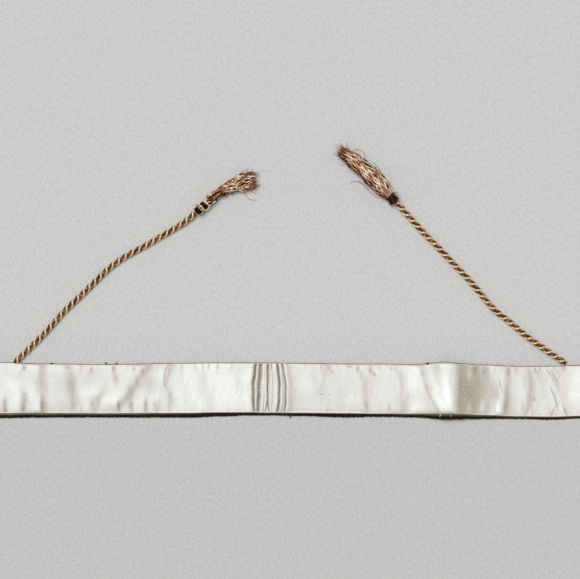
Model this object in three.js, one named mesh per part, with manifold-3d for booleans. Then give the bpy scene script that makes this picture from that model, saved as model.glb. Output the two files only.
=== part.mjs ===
// A silk sash laid flat with its satin lining up, two twisted tie cords sewn into its upper seam,
// and a tassel of crinkled thread on the end of each cord.
// Millimetres, +Z up. X runs along the sash and Y across it, towards the cords.
// The origin lies under the middle of the sash, on the surface that it rests on.

import * as THREE from "three";
import { mergeVertices } from "three/addons/utils/BufferGeometryUtils.js";
import Module from "manifold-3d";

const wasm = await Module();
wasm.setup();

// Driving dimensions of the sash.
const SASH_LENGTH = 760;
const SASH_WIDTH = 53.5;
const OUTER_WALL = 1.2;
const HEM_HEIGHT = 2.3;
const HEM_ABOVE = 1.3;
const HEM_ENDS = 2;
const HEM_ROLL = 0.8;
const CORNER_RADIUS = 2.5;
const LINING_WALL = 1;
const LINING_EDGE = 0.7;
const SEAM_GAP = 0.3;
const LINING_ACROSS = [1, 0.94, 0.55, 0.18, -0.18, -0.55, -0.94, -1];

// Driving dimensions of a cord and its tassel.
const CORD_DIAMETER = 6;
const CORD_SIDES = 8;
const CORD_STEPS = 26;
const CORD_TUCK = 4;
const CORD_RISE = 26;
const FLOOR_CLEARANCE = 0.05;
const HEAD_SIDES = 14;
const STRANDS = 42;
const STRAND_SIDES = 3;
const STRAND_STEPS = 5;
const STRAND_FLOOR_CLEARANCE = 0.7;
const STRAND_WOBBLE = 0.22;
const STRAND_ROOT_DEPTH = 1.2;
const RAGGED_SHARE = 0.14;
const GOLDEN_ANGLE = Math.PI * (3 - Math.sqrt(5));

// A table's rows as objects that carry the names of its columns.
const table = (columns, rows) =>
  rows.map((row) => Object.fromEntries(columns.map((name, i) => [name, row[i]])));

// How far the two long edges stray from straight as the sash lies, and how wide the lower hem rolls.
const EDGES = table(
  ["at", "upper", "lower", "hem"],
  [
    [-380, 0.1, -1.8, 4],
    [-290, 0.2, -1.8, 4.2],
    [-250, -0.8, -1.2, 3.8],
    [-190, -1.2, -1.1, 3.5],
    [-102, -0.7, -1.3, 4],
    [-70, -0.3, -0.1, 3.4],
    [-40, -0.2, 0.8, 2.5],
    [-22, -0.3, 0.9, 2.1],
    [10, -0.8, 0.3, 2.5],
    [54, -1.3, -1, 3.4],
    [90, -1.4, -0.6, 2.6],
    [130, -1.1, -1.1, 3],
    [156, 0.5, -2.1, 4],
    [172, -0.9, -1.9, 3.5],
    [192, -2.3, -2.1, 2.7],
    [230, -3.7, -2.7, 2],
    [262, -3.7, -2.8, 1.8],
    [290, -2.8, -2.1, 1.9],
    [380, -1.7, -1, 2.4],
  ],
);

// Where the whole sash arches off the surface: the crest, its height, and the run up and down to it.
const ARCHES = table(
  ["at", "height", "rise", "fall"],
  [
    [161, 4, 32, 42],
    [318, 2.2, 38, 36],
  ],
);

// The lining's largest folds. Each is a soft ridge: where its crest meets the upper edge, the middle line
// and the lower edge, its height, the widths of its two flanks, and where it ends on the way across.
const PAST_EDGE = 1.3;
const FOLD_END = 0.18;
const FOLDS = table(
  ["upper", "middle", "lower", "height", "rise", "fall", "low", "high"],
  [
    [-362, -364, -361, 0.8, 10, 5, -PAST_EDGE, PAST_EDGE],
    [-343, -340, -342, 1.1, 12, 4, -PAST_EDGE, PAST_EDGE],
    [-318, -322, -324, 0.9, 9, 4, -PAST_EDGE, 0.5],
    [-303, -301, -298, 1, 10, 4, -PAST_EDGE, PAST_EDGE],
    [-288.5, -287.5, -286.5, 0.8, 6, 2.5, -PAST_EDGE, -0.35],
    [-273, -271.5, -269.5, 0.7, 7, 3, -PAST_EDGE, 0.2],
    [-253, -251, -250, 1.5, 11, 3.6, -PAST_EDGE, PAST_EDGE],
    [-224, -222, -217, 1.4, 14, 6, -0.8, 0.95],
    [-181, -190, -199.4, 0.9, 9, 3, -PAST_EDGE, 0],
    [-178.5, -176.5, -174.5, 0.7, 6, 2.6, -0.05, PAST_EDGE],
    [-145, -162, -179, 1.6, 10, 4.2, -0.75, PAST_EDGE],
    [-147, -146, -146, 0.9, 4, 2, -PAST_EDGE, -0.4],
    [-127.5, -131.5, -135.5, 0.6, 4, 2, -PAST_EDGE, -0.5],
    [-122.8, -123.9, -122.6, 1.3, 9, 2.6, -0.75, PAST_EDGE],
    [-44, -46, -47, 0.5, 22, 5, -PAST_EDGE, PAST_EDGE],
    [-34.2, -37.8, -36.6, 1.2, 1.4, 1.5, -PAST_EDGE, PAST_EDGE],
    [-29.8, -32.6, -33.7, 1.4, 1.5, 2, -PAST_EDGE, PAST_EDGE],
    [-23.2, -23.2, -23.2, 0.9, 1, 0.7, -0.65, PAST_EDGE],
    [-20.6, -20.6, -20.8, 0.7, 0.9, 2.2, -0.8, PAST_EDGE],
    [-13.2, -11.5, -12.8, 1.2, 1.6, 1.1, -PAST_EDGE, PAST_EDGE],
    [-9.2, -5.6, -7.4, 0.9, 2.2, 1.1, -PAST_EDGE, PAST_EDGE],
    [-6.4, -2.4, -5, 1.1, 1.1, 3.2, -PAST_EDGE, PAST_EDGE],
    [29.6, 29.6, 29.4, 0.7, 16, 4, -0.3, PAST_EDGE],
    [64.2, 70.1, 71.6, 1.2, 14, 4, -0.75, PAST_EDGE],
    [97.6, 110.6, 107.6, 1.2, 12, 4, -PAST_EDGE, 0.85],
    [127.5, 136.7, 145.9, 1.2, 12, 3, -PAST_EDGE, PAST_EDGE],
    [162, 163, 164.6, 2, 15, 8, -PAST_EDGE, PAST_EDGE],
    [183, 184, 184, 0.9, 3, 3, 0.25, PAST_EDGE],
    [197, 195, 192.6, 0.7, 2.5, 3, -PAST_EDGE, -0.45],
    [209, 209.5, 209.5, 0.7, 3, 3, -PAST_EDGE, -0.4],
    [214.5, 213.4, 210.4, 1.1, 5, 3.2, -PAST_EDGE, PAST_EDGE],
    [236, 238.5, 231.5, 1.3, 8, 3, -PAST_EDGE, PAST_EDGE],
    [299, 302, 304, 0.9, 10, 5, -PAST_EDGE, PAST_EDGE],
    [322, 320, 321, 1.1, 12, 5, -PAST_EDGE, PAST_EDGE],
    [343, 347, 349, 0.9, 10, 4, -0.6, PAST_EDGE],
    [366, 365, 367, 0.8, 9, 4, -PAST_EDGE, PAST_EDGE],
  ],
);

// Sections along the sash: evenly spaced over each stretch, and close together across the sharp folds.
const STRETCHES = table(
  ["from", "to", "step"],
  [
    [-380, -290, 5],
    [-290, -115, 3.5],
    [-115, -46, 8],
    [-46, 2, 1.1],
    [2, 58, 8],
    [58, 250, 3.5],
    [250, 380, 5],
  ],
);
const PLAIN_STEP = 10;

// Each cord's route on the surface, from the seam to its tassel.
const CORD_ROUTES = {
  left: [
    [-275, 26.4],
    [-267.8, 33.6],
    [-253.4, 47.6],
    [-239.9, 61.6],
    [-227.8, 75.6],
    [-213.3, 89.6],
    [-198.8, 103.6],
    [-184.4, 117.6],
    [-175.6, 125],
    [-165.6, 132],
    [-152.6, 139.1],
    [-140.1, 146.1],
    [-128.1, 153.1],
    [-116.2, 160.1],
    [-105.2, 167.2],
    [-98.2, 173],
    [-95.1, 175.6],
  ],
  right: [
    [275.2, 25.9],
    [267.7, 30.9],
    [260.7, 35.4],
    [253.7, 40.4],
    [239.7, 50.4],
    [232.7, 55.9],
    [218.7, 67.8],
    [204.7, 78.9],
    [197.7, 86.4],
    [190.7, 94.9],
    [176.7, 111.4],
    [162.7, 125.9],
    [148.7, 140.9],
    [134.7, 154.9],
    [120.7, 170.4],
    [109.6, 182.6],
    [106.9, 185.5],
  ],
};

// The line that each tassel lies along, past the end of its cord.
const TASSEL_ROUTES = {
  left: [
    [-86.5, 183.1],
    [-79.5, 189.5],
    [-72.5, 194.5],
    [-65.5, 198.9],
    [-58.5, 202.5],
    [-51.5, 205.3],
    [-43.5, 207.5],
    [-32.5, 208.9],
  ],
  right: [
    [100.2, 192.2],
    [90.7, 202.8],
    [80.2, 213.6],
    [70.2, 222.8],
    [60.2, 230.8],
    [47.7, 239.8],
  ],
};

// A tassel's head turned about its own line: the distance from the cord and the radius there.
const HEAD_PROFILE = table(
  ["along", "radius"],
  [
    [0, 2.6],
    [1.2, 4],
    [4, 5.2],
    [7, 5],
    [8.4, 4.2],
    [11.4, 4.2],
    [12.6, 4.7],
    [15, 4.6],
  ],
);
const HEAD_AXIS = 5.6;
const BINDING_FROM = 8.7;
const BINDING_PITCH = 0.8;
const BINDING_TURNS = 3;
const BINDING_THICKNESS = 0.7;

// The skirt of strands lies flattened: the half width and half height of the bundle along each tassel.
const SKIRTS = {
  left: table(
    ["along", "width", "height"],
    [
      [13, 4.1, 4.1],
      [24, 4.5, 4.2],
      [30, 4.2, 4.2],
      [37, 4.8, 4.4],
      [46, 6.6, 4.6],
      [56, 8.8, 4.6],
      [70, 9, 4.2],
    ],
  ),
  right: table(
    ["along", "width", "height"],
    [
      [13, 4.2, 4.2],
      [24, 8.2, 5],
      [36, 9.2, 5.4],
      [46, 8.3, 5.2],
      [60, 8, 4.8],
      [69, 6.6, 4.4],
      [77, 5, 4],
    ],
  ),
};
const STRAND_RADII = table(
  ["share", "radius"],
  [
    [0, 0.36],
    [0.3, 0.4],
    [0.5, 0.46],
    [0.8, 0.46],
    [1, 0.22],
  ],
);

const materials = {
  lining: new THREE.MeshStandardMaterial({ color: 0xe6e3d9, roughness: 0.42, metalness: 0 }),
  outer: new THREE.MeshStandardMaterial({ color: 0x42382c, roughness: 0.7, metalness: 0 }),
  cord: new THREE.MeshStandardMaterial({ color: 0xc79a6b, roughness: 0.45, metalness: 0.6 }),
  tassel: new THREE.MeshStandardMaterial({ color: 0xb98663, roughness: 0.45, metalness: 0.6 }),
  binding: new THREE.MeshStandardMaterial({ color: 0xe0b896, roughness: 0.4, metalness: 0.6 }),
};

const soften = (share) => THREE.MathUtils.smoothstep(share, 0, 1);

// A value read from a table between the rows on either side, easing in and out of each row.
function readTable(rows, key, value, at) {
  const next = rows.findIndex((row) => row[key] >= at);
  if (next === 0) return rows[0][value];
  if (next < 0) return rows.at(-1)[value];
  const [before, after] = [rows[next - 1], rows[next]];
  const share = soften((at - before[key]) / (after[key] - before[key]));
  return THREE.MathUtils.lerp(before[value], after[value], share);
}

// A repeatable number from 0 to 1 for the strand of that index.
function scatter(index, salt) {
  const wave = Math.sin(index * 12.9898 + salt * 78.233) * 43758.5453;
  return wave - Math.floor(wave);
}

// A closed solid through rings of points that all have the same count, capped at both ends.
function loft(rings) {
  const count = rings[0].length;
  const positions = rings.flat().flatMap((point) => [point.x, point.y, point.z]);
  const faces = [];
  for (let r = 0; r + 1 < rings.length; r += 1) {
    for (let i = 0; i < count; i += 1) {
      const j = (i + 1) % count;
      const [a, b] = [r * count + i, r * count + j];
      faces.push(a, b, b + count, a, b + count, a + count);
    }
  }
  const last = (rings.length - 1) * count;
  for (const [a, b, c] of capOf(rings[0])) faces.push(c, b, a);
  for (const [a, b, c] of capOf(rings.at(-1))) faces.push(last + a, last + b, last + c);
  const geometry = new THREE.BufferGeometry();
  geometry.setAttribute("position", new THREE.Float32BufferAttribute(positions, 3));
  geometry.setIndex(faces);
  return geometry;
}

// The triangles that fill a flat ring, found in the ring's own plane.
function capOf(ring) {
  const middle = ring.reduce((sum, p) => sum.add(p), new THREE.Vector3()).divideScalar(ring.length);
  const normal = new THREE.Vector3();
  ring.forEach((point, i) => {
    const after = ring[(i + 1) % ring.length];
    normal.add(point.clone().sub(middle).cross(after.clone().sub(middle)));
  });
  normal.normalize();
  const right = ring[0].clone().sub(middle).projectOnPlane(normal).normalize();
  const up = normal.clone().cross(right);
  const flat = ring.map((point) => {
    const offset = point.clone().sub(middle);
    return new THREE.Vector2(offset.dot(right), offset.dot(up));
  });
  return THREE.ShapeUtils.triangulateShape(flat, []);
}

// A closed geometry as a solid that can be joined and cut.
function solidOf(geometry) {
  const bare = geometry.clone();
  bare.deleteAttribute("normal");
  bare.deleteAttribute("uv");
  const merged = mergeVertices(bare, 1e-4);
  return new wasm.Manifold(
    new wasm.Mesh({
      numProp: 3,
      vertProperties: merged.attributes.position.array,
      triVerts: new Uint32Array(merged.index.array),
    }),
  );
}

function geometryOf(solid) {
  const mesh = solid.getMesh();
  const geometry = new THREE.BufferGeometry();
  geometry.setAttribute("position", new THREE.BufferAttribute(new Float32Array(mesh.vertProperties), 3));
  geometry.setIndex(new THREE.BufferAttribute(new Uint32Array(mesh.triVerts), 1));
  return geometry;
}

function piece(name, geometry, material) {
  const mesh = new THREE.Mesh(geometry, material);
  mesh.name = name;
  return mesh;
}

// The sash's two long edges at a place along it, drawn in at the rounded corners of its ends.
function edgesAt(x) {
  const past = Math.max(0, Math.abs(x) - (SASH_LENGTH / 2 - CORNER_RADIUS));
  const drawnIn = CORNER_RADIUS - Math.sqrt(Math.max(0, CORNER_RADIUS ** 2 - past ** 2));
  const half = SASH_WIDTH / 2 - drawnIn;
  return {
    lower: readTable(EDGES, "at", "lower", x) - half,
    upper: readTable(EDGES, "at", "upper", x) + half,
    hem: readTable(EDGES, "at", "hem", x),
  };
}

// How far the sash's underside arches off the surface.
function liftAt(x) {
  return ARCHES.reduce((sum, arch) => {
    const share = (x - arch.at) / (x < arch.at ? arch.rise : arch.fall);
    return Math.abs(share) < 1 ? sum + (arch.height * (1 + Math.cos(Math.PI * share))) / 2 : sum;
  }, 0);
}

// How far the folds raise the lining. Across runs from -1 at its lower edge to 1 at its upper edge.
function foldAt(x, across) {
  return FOLDS.reduce((sum, fold) => {
    const lean = (fold.upper - fold.lower) / 2;
    const bow = (fold.upper + fold.lower) / 2 - fold.middle;
    const crest = fold.middle + lean * across + bow * across ** 2;
    const share = (x - crest) / (x < crest ? fold.rise : fold.fall);
    const started = THREE.MathUtils.smoothstep(across, fold.low - FOLD_END, fold.low + FOLD_END);
    const ended = THREE.MathUtils.smoothstep(across, fold.high - FOLD_END, fold.high + FOLD_END);
    return sum + fold.height * Math.exp(-(share ** 2)) * started * (1 - ended);
  }, 0);
}

// The outer cloth: a flat wall whose edges are turned up and over into a narrow hem all round.
function outerSection(x, bed) {
  const { lower, upper, hem } = edgesAt(x);
  const base = liftAt(x);
  const brim = HEM_HEIGHT - HEM_ROLL / 2;
  const outline = [
    [lower + HEM_ROLL, 0],
    [upper - HEM_ROLL, 0],
    [upper, HEM_ROLL],
    [upper, brim],
    [upper - HEM_ABOVE / 2, HEM_HEIGHT],
    [upper - HEM_ABOVE, brim],
    [upper - HEM_ABOVE, bed],
    [lower + hem, bed],
    [lower + hem, brim],
    [lower + hem / 2, HEM_HEIGHT],
    [lower, brim],
    [lower, HEM_ROLL],
  ];
  return outline.map(([y, z]) => new THREE.Vector3(x, y, base + z));
}

// Evenly spaced places over the table's stretches, no closer together than the given step.
function stationsOf(leastStep) {
  const places = STRETCHES.flatMap(({ from, to, step }) => {
    const count = Math.round((to - from) / Math.max(step, leastStep));
    return Array.from({ length: count }, (_, i) => from + ((to - from) * i) / count);
  });
  return [...places, STRETCHES.at(-1).to];
}

function makeOuterCloth() {
  const end = SASH_LENGTH / 2;
  const rim = end - HEM_ENDS;
  const step = HEM_ROLL / 2;
  const brim = HEM_HEIGHT - HEM_ROLL / 2;
  const inside = stationsOf(PLAIN_STEP).filter((x) => Math.abs(x) < rim - step);
  const stations = [
    ...[-end, -end + step, -rim].map((x) => ({ x, bed: brim })),
    ...[-rim + step, ...inside, rim - step].map((x) => ({ x, bed: OUTER_WALL })),
    ...[rim, end - step, end].map((x) => ({ x, bed: brim })),
  ];
  return loft(stations.map(({ x, bed }) => outerSection(x, bed)));
}

// The lining: a satin wall that lies in the hem, plain beneath and raised by its folds above.
function liningSection(x) {
  const edges = edgesAt(x);
  const lower = edges.lower + edges.hem + SEAM_GAP;
  const upper = edges.upper - HEM_ABOVE - SEAM_GAP;
  const base = liftAt(x) + OUTER_WALL + SEAM_GAP;
  const top = LINING_ACROSS.map((across) => {
    const isEdge = Math.abs(across) === 1;
    const rise = isEdge ? LINING_EDGE : LINING_WALL + foldAt(x, across);
    return new THREE.Vector3(x, THREE.MathUtils.mapLinear(across, -1, 1, lower, upper), base + rise);
  });
  return [new THREE.Vector3(x, lower, base), new THREE.Vector3(x, upper, base), ...top];
}

function makeLining() {
  const end = SASH_LENGTH / 2 - HEM_ENDS - SEAM_GAP - HEM_ROLL / 2;
  const stations = stationsOf(0).filter((x) => Math.abs(x) < end - 1);
  return loft([-end, ...stations, end].map(liningSection));
}

// The middle line of a cord: flat on the surface, then up to the middle of its tassel's head.
function cordCurve(route) {
  const [start, next] = route.slice(0, 2).map(([x, y]) => new THREE.Vector2(x, y));
  const tuck = start.clone().sub(next).setLength(CORD_TUCK).add(start);
  const flat = [tuck.toArray(), ...route];
  const end = new THREE.Vector2(...flat.at(-1));
  const rest = CORD_DIAMETER / 2 + FLOOR_CLEARANCE;
  const points = flat.map(([x, y]) => {
    const left = end.distanceTo(new THREE.Vector2(x, y));
    const z = THREE.MathUtils.lerp(HEAD_AXIS, rest, soften(left / CORD_RISE));
    return new THREE.Vector3(x, y, z);
  });
  return new THREE.CatmullRomCurve3(points, false, "centripetal");
}

// A cord that is cut off level with the sash's upper edge, where it is sewn in.
function makeCord(curve) {
  const section = new THREE.Shape(
    Array.from({ length: CORD_SIDES }, (_, i) => {
      const turn = (2 * Math.PI * (i + 0.5)) / CORD_SIDES;
      return new THREE.Vector2(Math.cos(turn), Math.sin(turn)).multiplyScalar(CORD_DIAMETER / 2);
    }),
  );
  const tube = new THREE.ExtrudeGeometry(section, {
    steps: CORD_STEPS,
    extrudePath: curve,
    bevelEnabled: false,
  });
  const exit = curve.getPoint(0);
  const reach = 4 * CORD_DIAMETER;
  const edge = Math.max(edgesAt(exit.x - reach / 2).upper, edgesAt(exit.x + reach / 2).upper);
  const sash = new THREE.BoxGeometry(reach, reach, reach);
  sash.translate(exit.x, edge + SEAM_GAP - reach / 2, 0);
  return geometryOf(solidOf(tube).subtract(solidOf(sash)));
}

// A tassel's own line, which starts just past the end of its cord and sinks as its skirt flattens.
function tasselCurve(cord, route, skirt) {
  const start = cord.getPoint(1).addScaledVector(cord.getTangent(1), SEAM_GAP);
  const flat = [[start.x, start.y], ...route];
  let along = 0;
  const points = flat.map(([x, y], i) => {
    if (i > 0) along += Math.hypot(x - flat[i - 1][0], y - flat[i - 1][1]);
    const lowest = readTable(skirt, "along", "height", along) + STRAND_FLOOR_CLEARANCE;
    const z = along < HEAD_PROFILE.at(-1).along ? HEAD_AXIS : lowest;
    return new THREE.Vector3(x, y, z);
  });
  return new THREE.CatmullRomCurve3(points, false, "centripetal");
}

// The turn that lays a shape made about +Y along the start of a tassel's line.
function headPlacement(curve) {
  const heading = curve.getTangent(0).setZ(0).normalize();
  const turn = new THREE.Quaternion().setFromUnitVectors(new THREE.Vector3(0, 1, 0), heading);
  return new THREE.Matrix4().compose(curve.getPoint(0), turn, new THREE.Vector3(1, 1, 1));
}

function makeHead(curve) {
  const outline = HEAD_PROFILE.map(({ along, radius }) => new THREE.Vector2(radius, along));
  const first = new THREE.Vector2(0, HEAD_PROFILE[0].along);
  const last = new THREE.Vector2(0, HEAD_PROFILE.at(-1).along);
  const head = new THREE.LatheGeometry([first, ...outline, last], HEAD_SIDES);
  return head.applyMatrix4(headPlacement(curve));
}

// The thread wound round a tassel's neck, as one ring with a ridge for each turn.
function makeBinding(curve) {
  const neck = readTable(HEAD_PROFILE, "along", "radius", BINDING_FROM) + SEAM_GAP;
  const to = BINDING_FROM + BINDING_TURNS * BINDING_PITCH;
  const ridges = Array.from({ length: 2 * BINDING_TURNS + 1 }, (_, i) => {
    const swell = i % 2 === 1 ? BINDING_THICKNESS : BINDING_THICKNESS / 2;
    return new THREE.Vector2(neck + swell, BINDING_FROM + (i * BINDING_PITCH) / 2);
  });
  const inside = [new THREE.Vector2(neck, to), new THREE.Vector2(neck, BINDING_FROM)];
  const outline = [...ridges, ...inside, ridges[0].clone()];
  return new THREE.LatheGeometry(outline, HEAD_SIDES).applyMatrix4(headPlacement(curve));
}

// One strand of the skirt, spread from the middle by a sunflower's rule and ragged at its tip.
function makeStrand(curve, skirt, index) {
  const spread = Math.sqrt((index + 0.5) / STRANDS);
  const turn = index * GOLDEN_ANGLE;
  const root = HEAD_PROFILE.at(-1).along - STRAND_ROOT_DEPTH;
  const tip = skirt.at(-1).along * (1 - RAGGED_SHARE * scatter(index, 1));
  const total = curve.getLength();
  const rings = Array.from({ length: STRAND_STEPS + 1 }, (_, step) => {
    const share = step / STRAND_STEPS;
    const along = THREE.MathUtils.lerp(root, tip, share);
    const place = curve.getPointAt(Math.min(1, along / total));
    const heading = curve.getTangentAt(Math.min(1, along / total)).setZ(0).normalize();
    const side = new THREE.Vector3(-heading.y, heading.x, 0);
    const wobble = STRAND_WOBBLE * share * Math.sin(6 * share + 2 * Math.PI * scatter(index, 2));
    const width = readTable(skirt, "along", "width", along) * spread * Math.cos(turn) + wobble;
    const height = readTable(skirt, "along", "height", along) * spread * Math.sin(turn);
    const middle = place.clone().addScaledVector(side, width);
    middle.z += height;
    const radius = readTable(STRAND_RADII, "share", "radius", share);
    return Array.from({ length: STRAND_SIDES }, (_, i) => {
      const angle = (2 * Math.PI * i) / STRAND_SIDES + turn;
      const corner = middle.clone().addScaledVector(side, radius * Math.cos(angle));
      corner.z += radius * Math.sin(angle);
      return corner;
    });
  });
  return loft(rings);
}

// A tassel: the head with all the strands rooted in it.
function makeTassel(curve, skirt) {
  const strands = Array.from({ length: STRANDS }, (_, i) => solidOf(makeStrand(curve, skirt, i)));
  return geometryOf(strands.reduce((whole, strand) => whole.add(strand), solidOf(makeHead(curve))));
}

const sash = new THREE.Group();
sash.add(piece("outer_cloth", makeOuterCloth(), materials.outer));
sash.add(piece("lining", makeLining(), materials.lining));
for (const side of ["left", "right"]) {
  const cord = cordCurve(CORD_ROUTES[side]);
  const tassel = tasselCurve(cord, TASSEL_ROUTES[side], SKIRTS[side]);
  const tie = new THREE.Group();
  tie.add(piece(`cord_${side}`, makeCord(cord), materials.cord));
  tie.add(piece(`tassel_${side}`, makeTassel(tassel, SKIRTS[side]), materials.tassel));
  tie.add(piece(`binding_${side}`, makeBinding(tassel), materials.binding));
  sash.add(tie);
}

export default sash;
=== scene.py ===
"""A silk sash laid flat with its satin lining up, two twisted tie cords and their tassels.

Sizes in the classes are in millimetres, and the scene is in metres. X runs along the sash, Y across it
towards the cords, and Z up from the surface that it lies on.
"""

import logging
from dataclasses import dataclass, field
from enum import Enum
from typing import NamedTuple

import bpy
import numpy as np
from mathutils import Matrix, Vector


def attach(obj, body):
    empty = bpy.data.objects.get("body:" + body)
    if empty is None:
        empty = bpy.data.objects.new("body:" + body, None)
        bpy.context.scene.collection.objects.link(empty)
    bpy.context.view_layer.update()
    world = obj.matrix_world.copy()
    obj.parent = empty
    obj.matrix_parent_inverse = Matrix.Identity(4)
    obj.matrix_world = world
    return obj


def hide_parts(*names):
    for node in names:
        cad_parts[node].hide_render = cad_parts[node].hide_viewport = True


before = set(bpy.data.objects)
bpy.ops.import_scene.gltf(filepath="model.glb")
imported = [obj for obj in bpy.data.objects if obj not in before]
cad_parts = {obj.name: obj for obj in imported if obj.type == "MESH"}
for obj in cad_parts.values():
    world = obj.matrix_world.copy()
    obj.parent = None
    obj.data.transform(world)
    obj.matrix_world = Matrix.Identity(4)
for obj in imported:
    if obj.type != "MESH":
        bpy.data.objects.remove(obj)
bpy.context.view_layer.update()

Array = np.ndarray
Colour = tuple[float, float, float]
Outline = tuple[tuple[float, float, float], ...]

log = logging.getLogger("sash")

METRES = 0.001
TURN = 2 * np.pi
PHOTO_WIDTH = 580
PHOTO_HEIGHT = 579
ORIGIN_ROW = 389
SEED = 20
OUTSIDE = 1.3
HEAD_AXIS = 5.6


class Slot(Enum):
    """The record's material slots."""

    OUTER = "outer_silk"
    LINING = "satin_lining"
    CORD = "gold_cord"
    TASSEL = "tassel_thread"
    BINDING = "binding_thread"


class Side(Enum):
    """The two ends of the sash as it lies, which tell its cords apart."""

    LEFT = "left"
    RIGHT = "right"


class Edge(Enum):
    """The two long edges of the sash."""

    LOWER = -1
    UPPER = 1


class Lie(NamedTuple):
    """A place along the sash, how far its edges stray there, and its lower hem's width and how pale the hem's
    roll is, from rubbing and painted light.
    """

    at: float
    upper: float
    lower: float
    hem: float
    wear_and_light: float


class Arch(NamedTuple):
    """A stretch where the whole sash lifts: its crest, height, and the runs up and down."""

    at: float
    height: float
    rise: float
    fall: float


class Fold(NamedTuple):
    """A soft ridge across the lining.

    upper, middle and lower say where its crest meets the upper edge, the middle line and the lower edge.
    rise and fall are the widths of its left and right flanks, and low and high end it on the way across.
    """

    upper: float
    middle: float
    lower: float
    height: float
    rise: float
    fall: float
    low: float = -OUTSIDE
    high: float = OUTSIDE


class Crease(NamedTuple):
    """A pressed groove across the lining, named like a fold, with its depth, half width and darkening, which
    is painted shade with some soiling.
    """

    upper: float
    middle: float
    lower: float
    depth: float
    width: float
    soil_and_shade: float
    low: float = -OUTSIDE
    high: float = OUTSIDE


class Pucker(NamedTuple):
    """A short pleat where a stitch draws the lining's edge: its place, height, width and reach."""

    at: float
    height: float
    width: float
    reach: float


class Section(NamedTuple):
    """The half width and half height of a tassel's skirt at a distance along it."""

    along: float
    width: float
    height: float


class ThreadLie(NamedTuple):
    """How a tassel's threads lie.

    bright and thick are the number and radius of the bright threads. opening is the share of the skirt before
    they come up out of the dark ones, crinkle the swing of the short waves, and shortest and longest the
    waves' length. The next two are 1 or -1 where the left or right flank, which faces the light, keeps bright
    from the root as a painted highlight, or, facing away, is dulled by painted shade. The next is the share
    of the skirt where the other threads dip and darken with painted shade, and faded the tone that all reach
    at the tip.
    """

    bright: int
    thick: float
    opening: float
    crinkle: float
    shortest: float
    longest: float
    clean: int
    shaded_flank: int
    shade_band: float
    faded: float


class Wrap(NamedTuple):
    """A thread over a tassel's head: along and turn at its two ends, its radius, outward bow and tone."""

    along: float
    turn: float
    to_along: float
    to_turn: float
    radius: float
    bow: float
    tone: float


LIES = (
    Lie(-380, 0.1, -2.2, 4.4, 1), Lie(-290, 0.2, -2.2, 4.6, 1), Lie(-250, -1.1, -1.6, 4.2, 1),
    Lie(-190, -2.0, -1.5, 3.9, 0.9), Lie(-102, -0.7, -1.7, 4.4, 0.3), Lie(-70, -0.3, -0.5, 3.8, 0.15),
    Lie(-40, -0.2, 0.4, 2.9, 0.25), Lie(-22, -0.3, 0.5, 2.5, 0.2), Lie(10, -0.8, -0.1, 2.9, 0.15),
    Lie(54, -1.3, -1.4, 3.8, 0.15), Lie(90, -1.4, -1.0, 3.0, 0.3), Lie(124, -1.9, -1.5, 3.4, 0.7),
    Lie(156, 0.5, -3.4, 5.3, 0.8), Lie(172, -0.9, -3.0, 4.6, 0.7), Lie(192, -2.3, -2.9, 3.5, 0.6),
    Lie(230, -3.7, -3.1, 2.4, 0.6), Lie(262, -3.7, -3.8, 2.8, 0.6), Lie(290, -2.8, -2.5, 2.3, 0.7),
    Lie(380, -1.7, -1.4, 2.8, 0.8),
)

ARCHES = (Arch(161, 4, 32, 42), Arch(318, 2.2, 38, 36))

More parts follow.
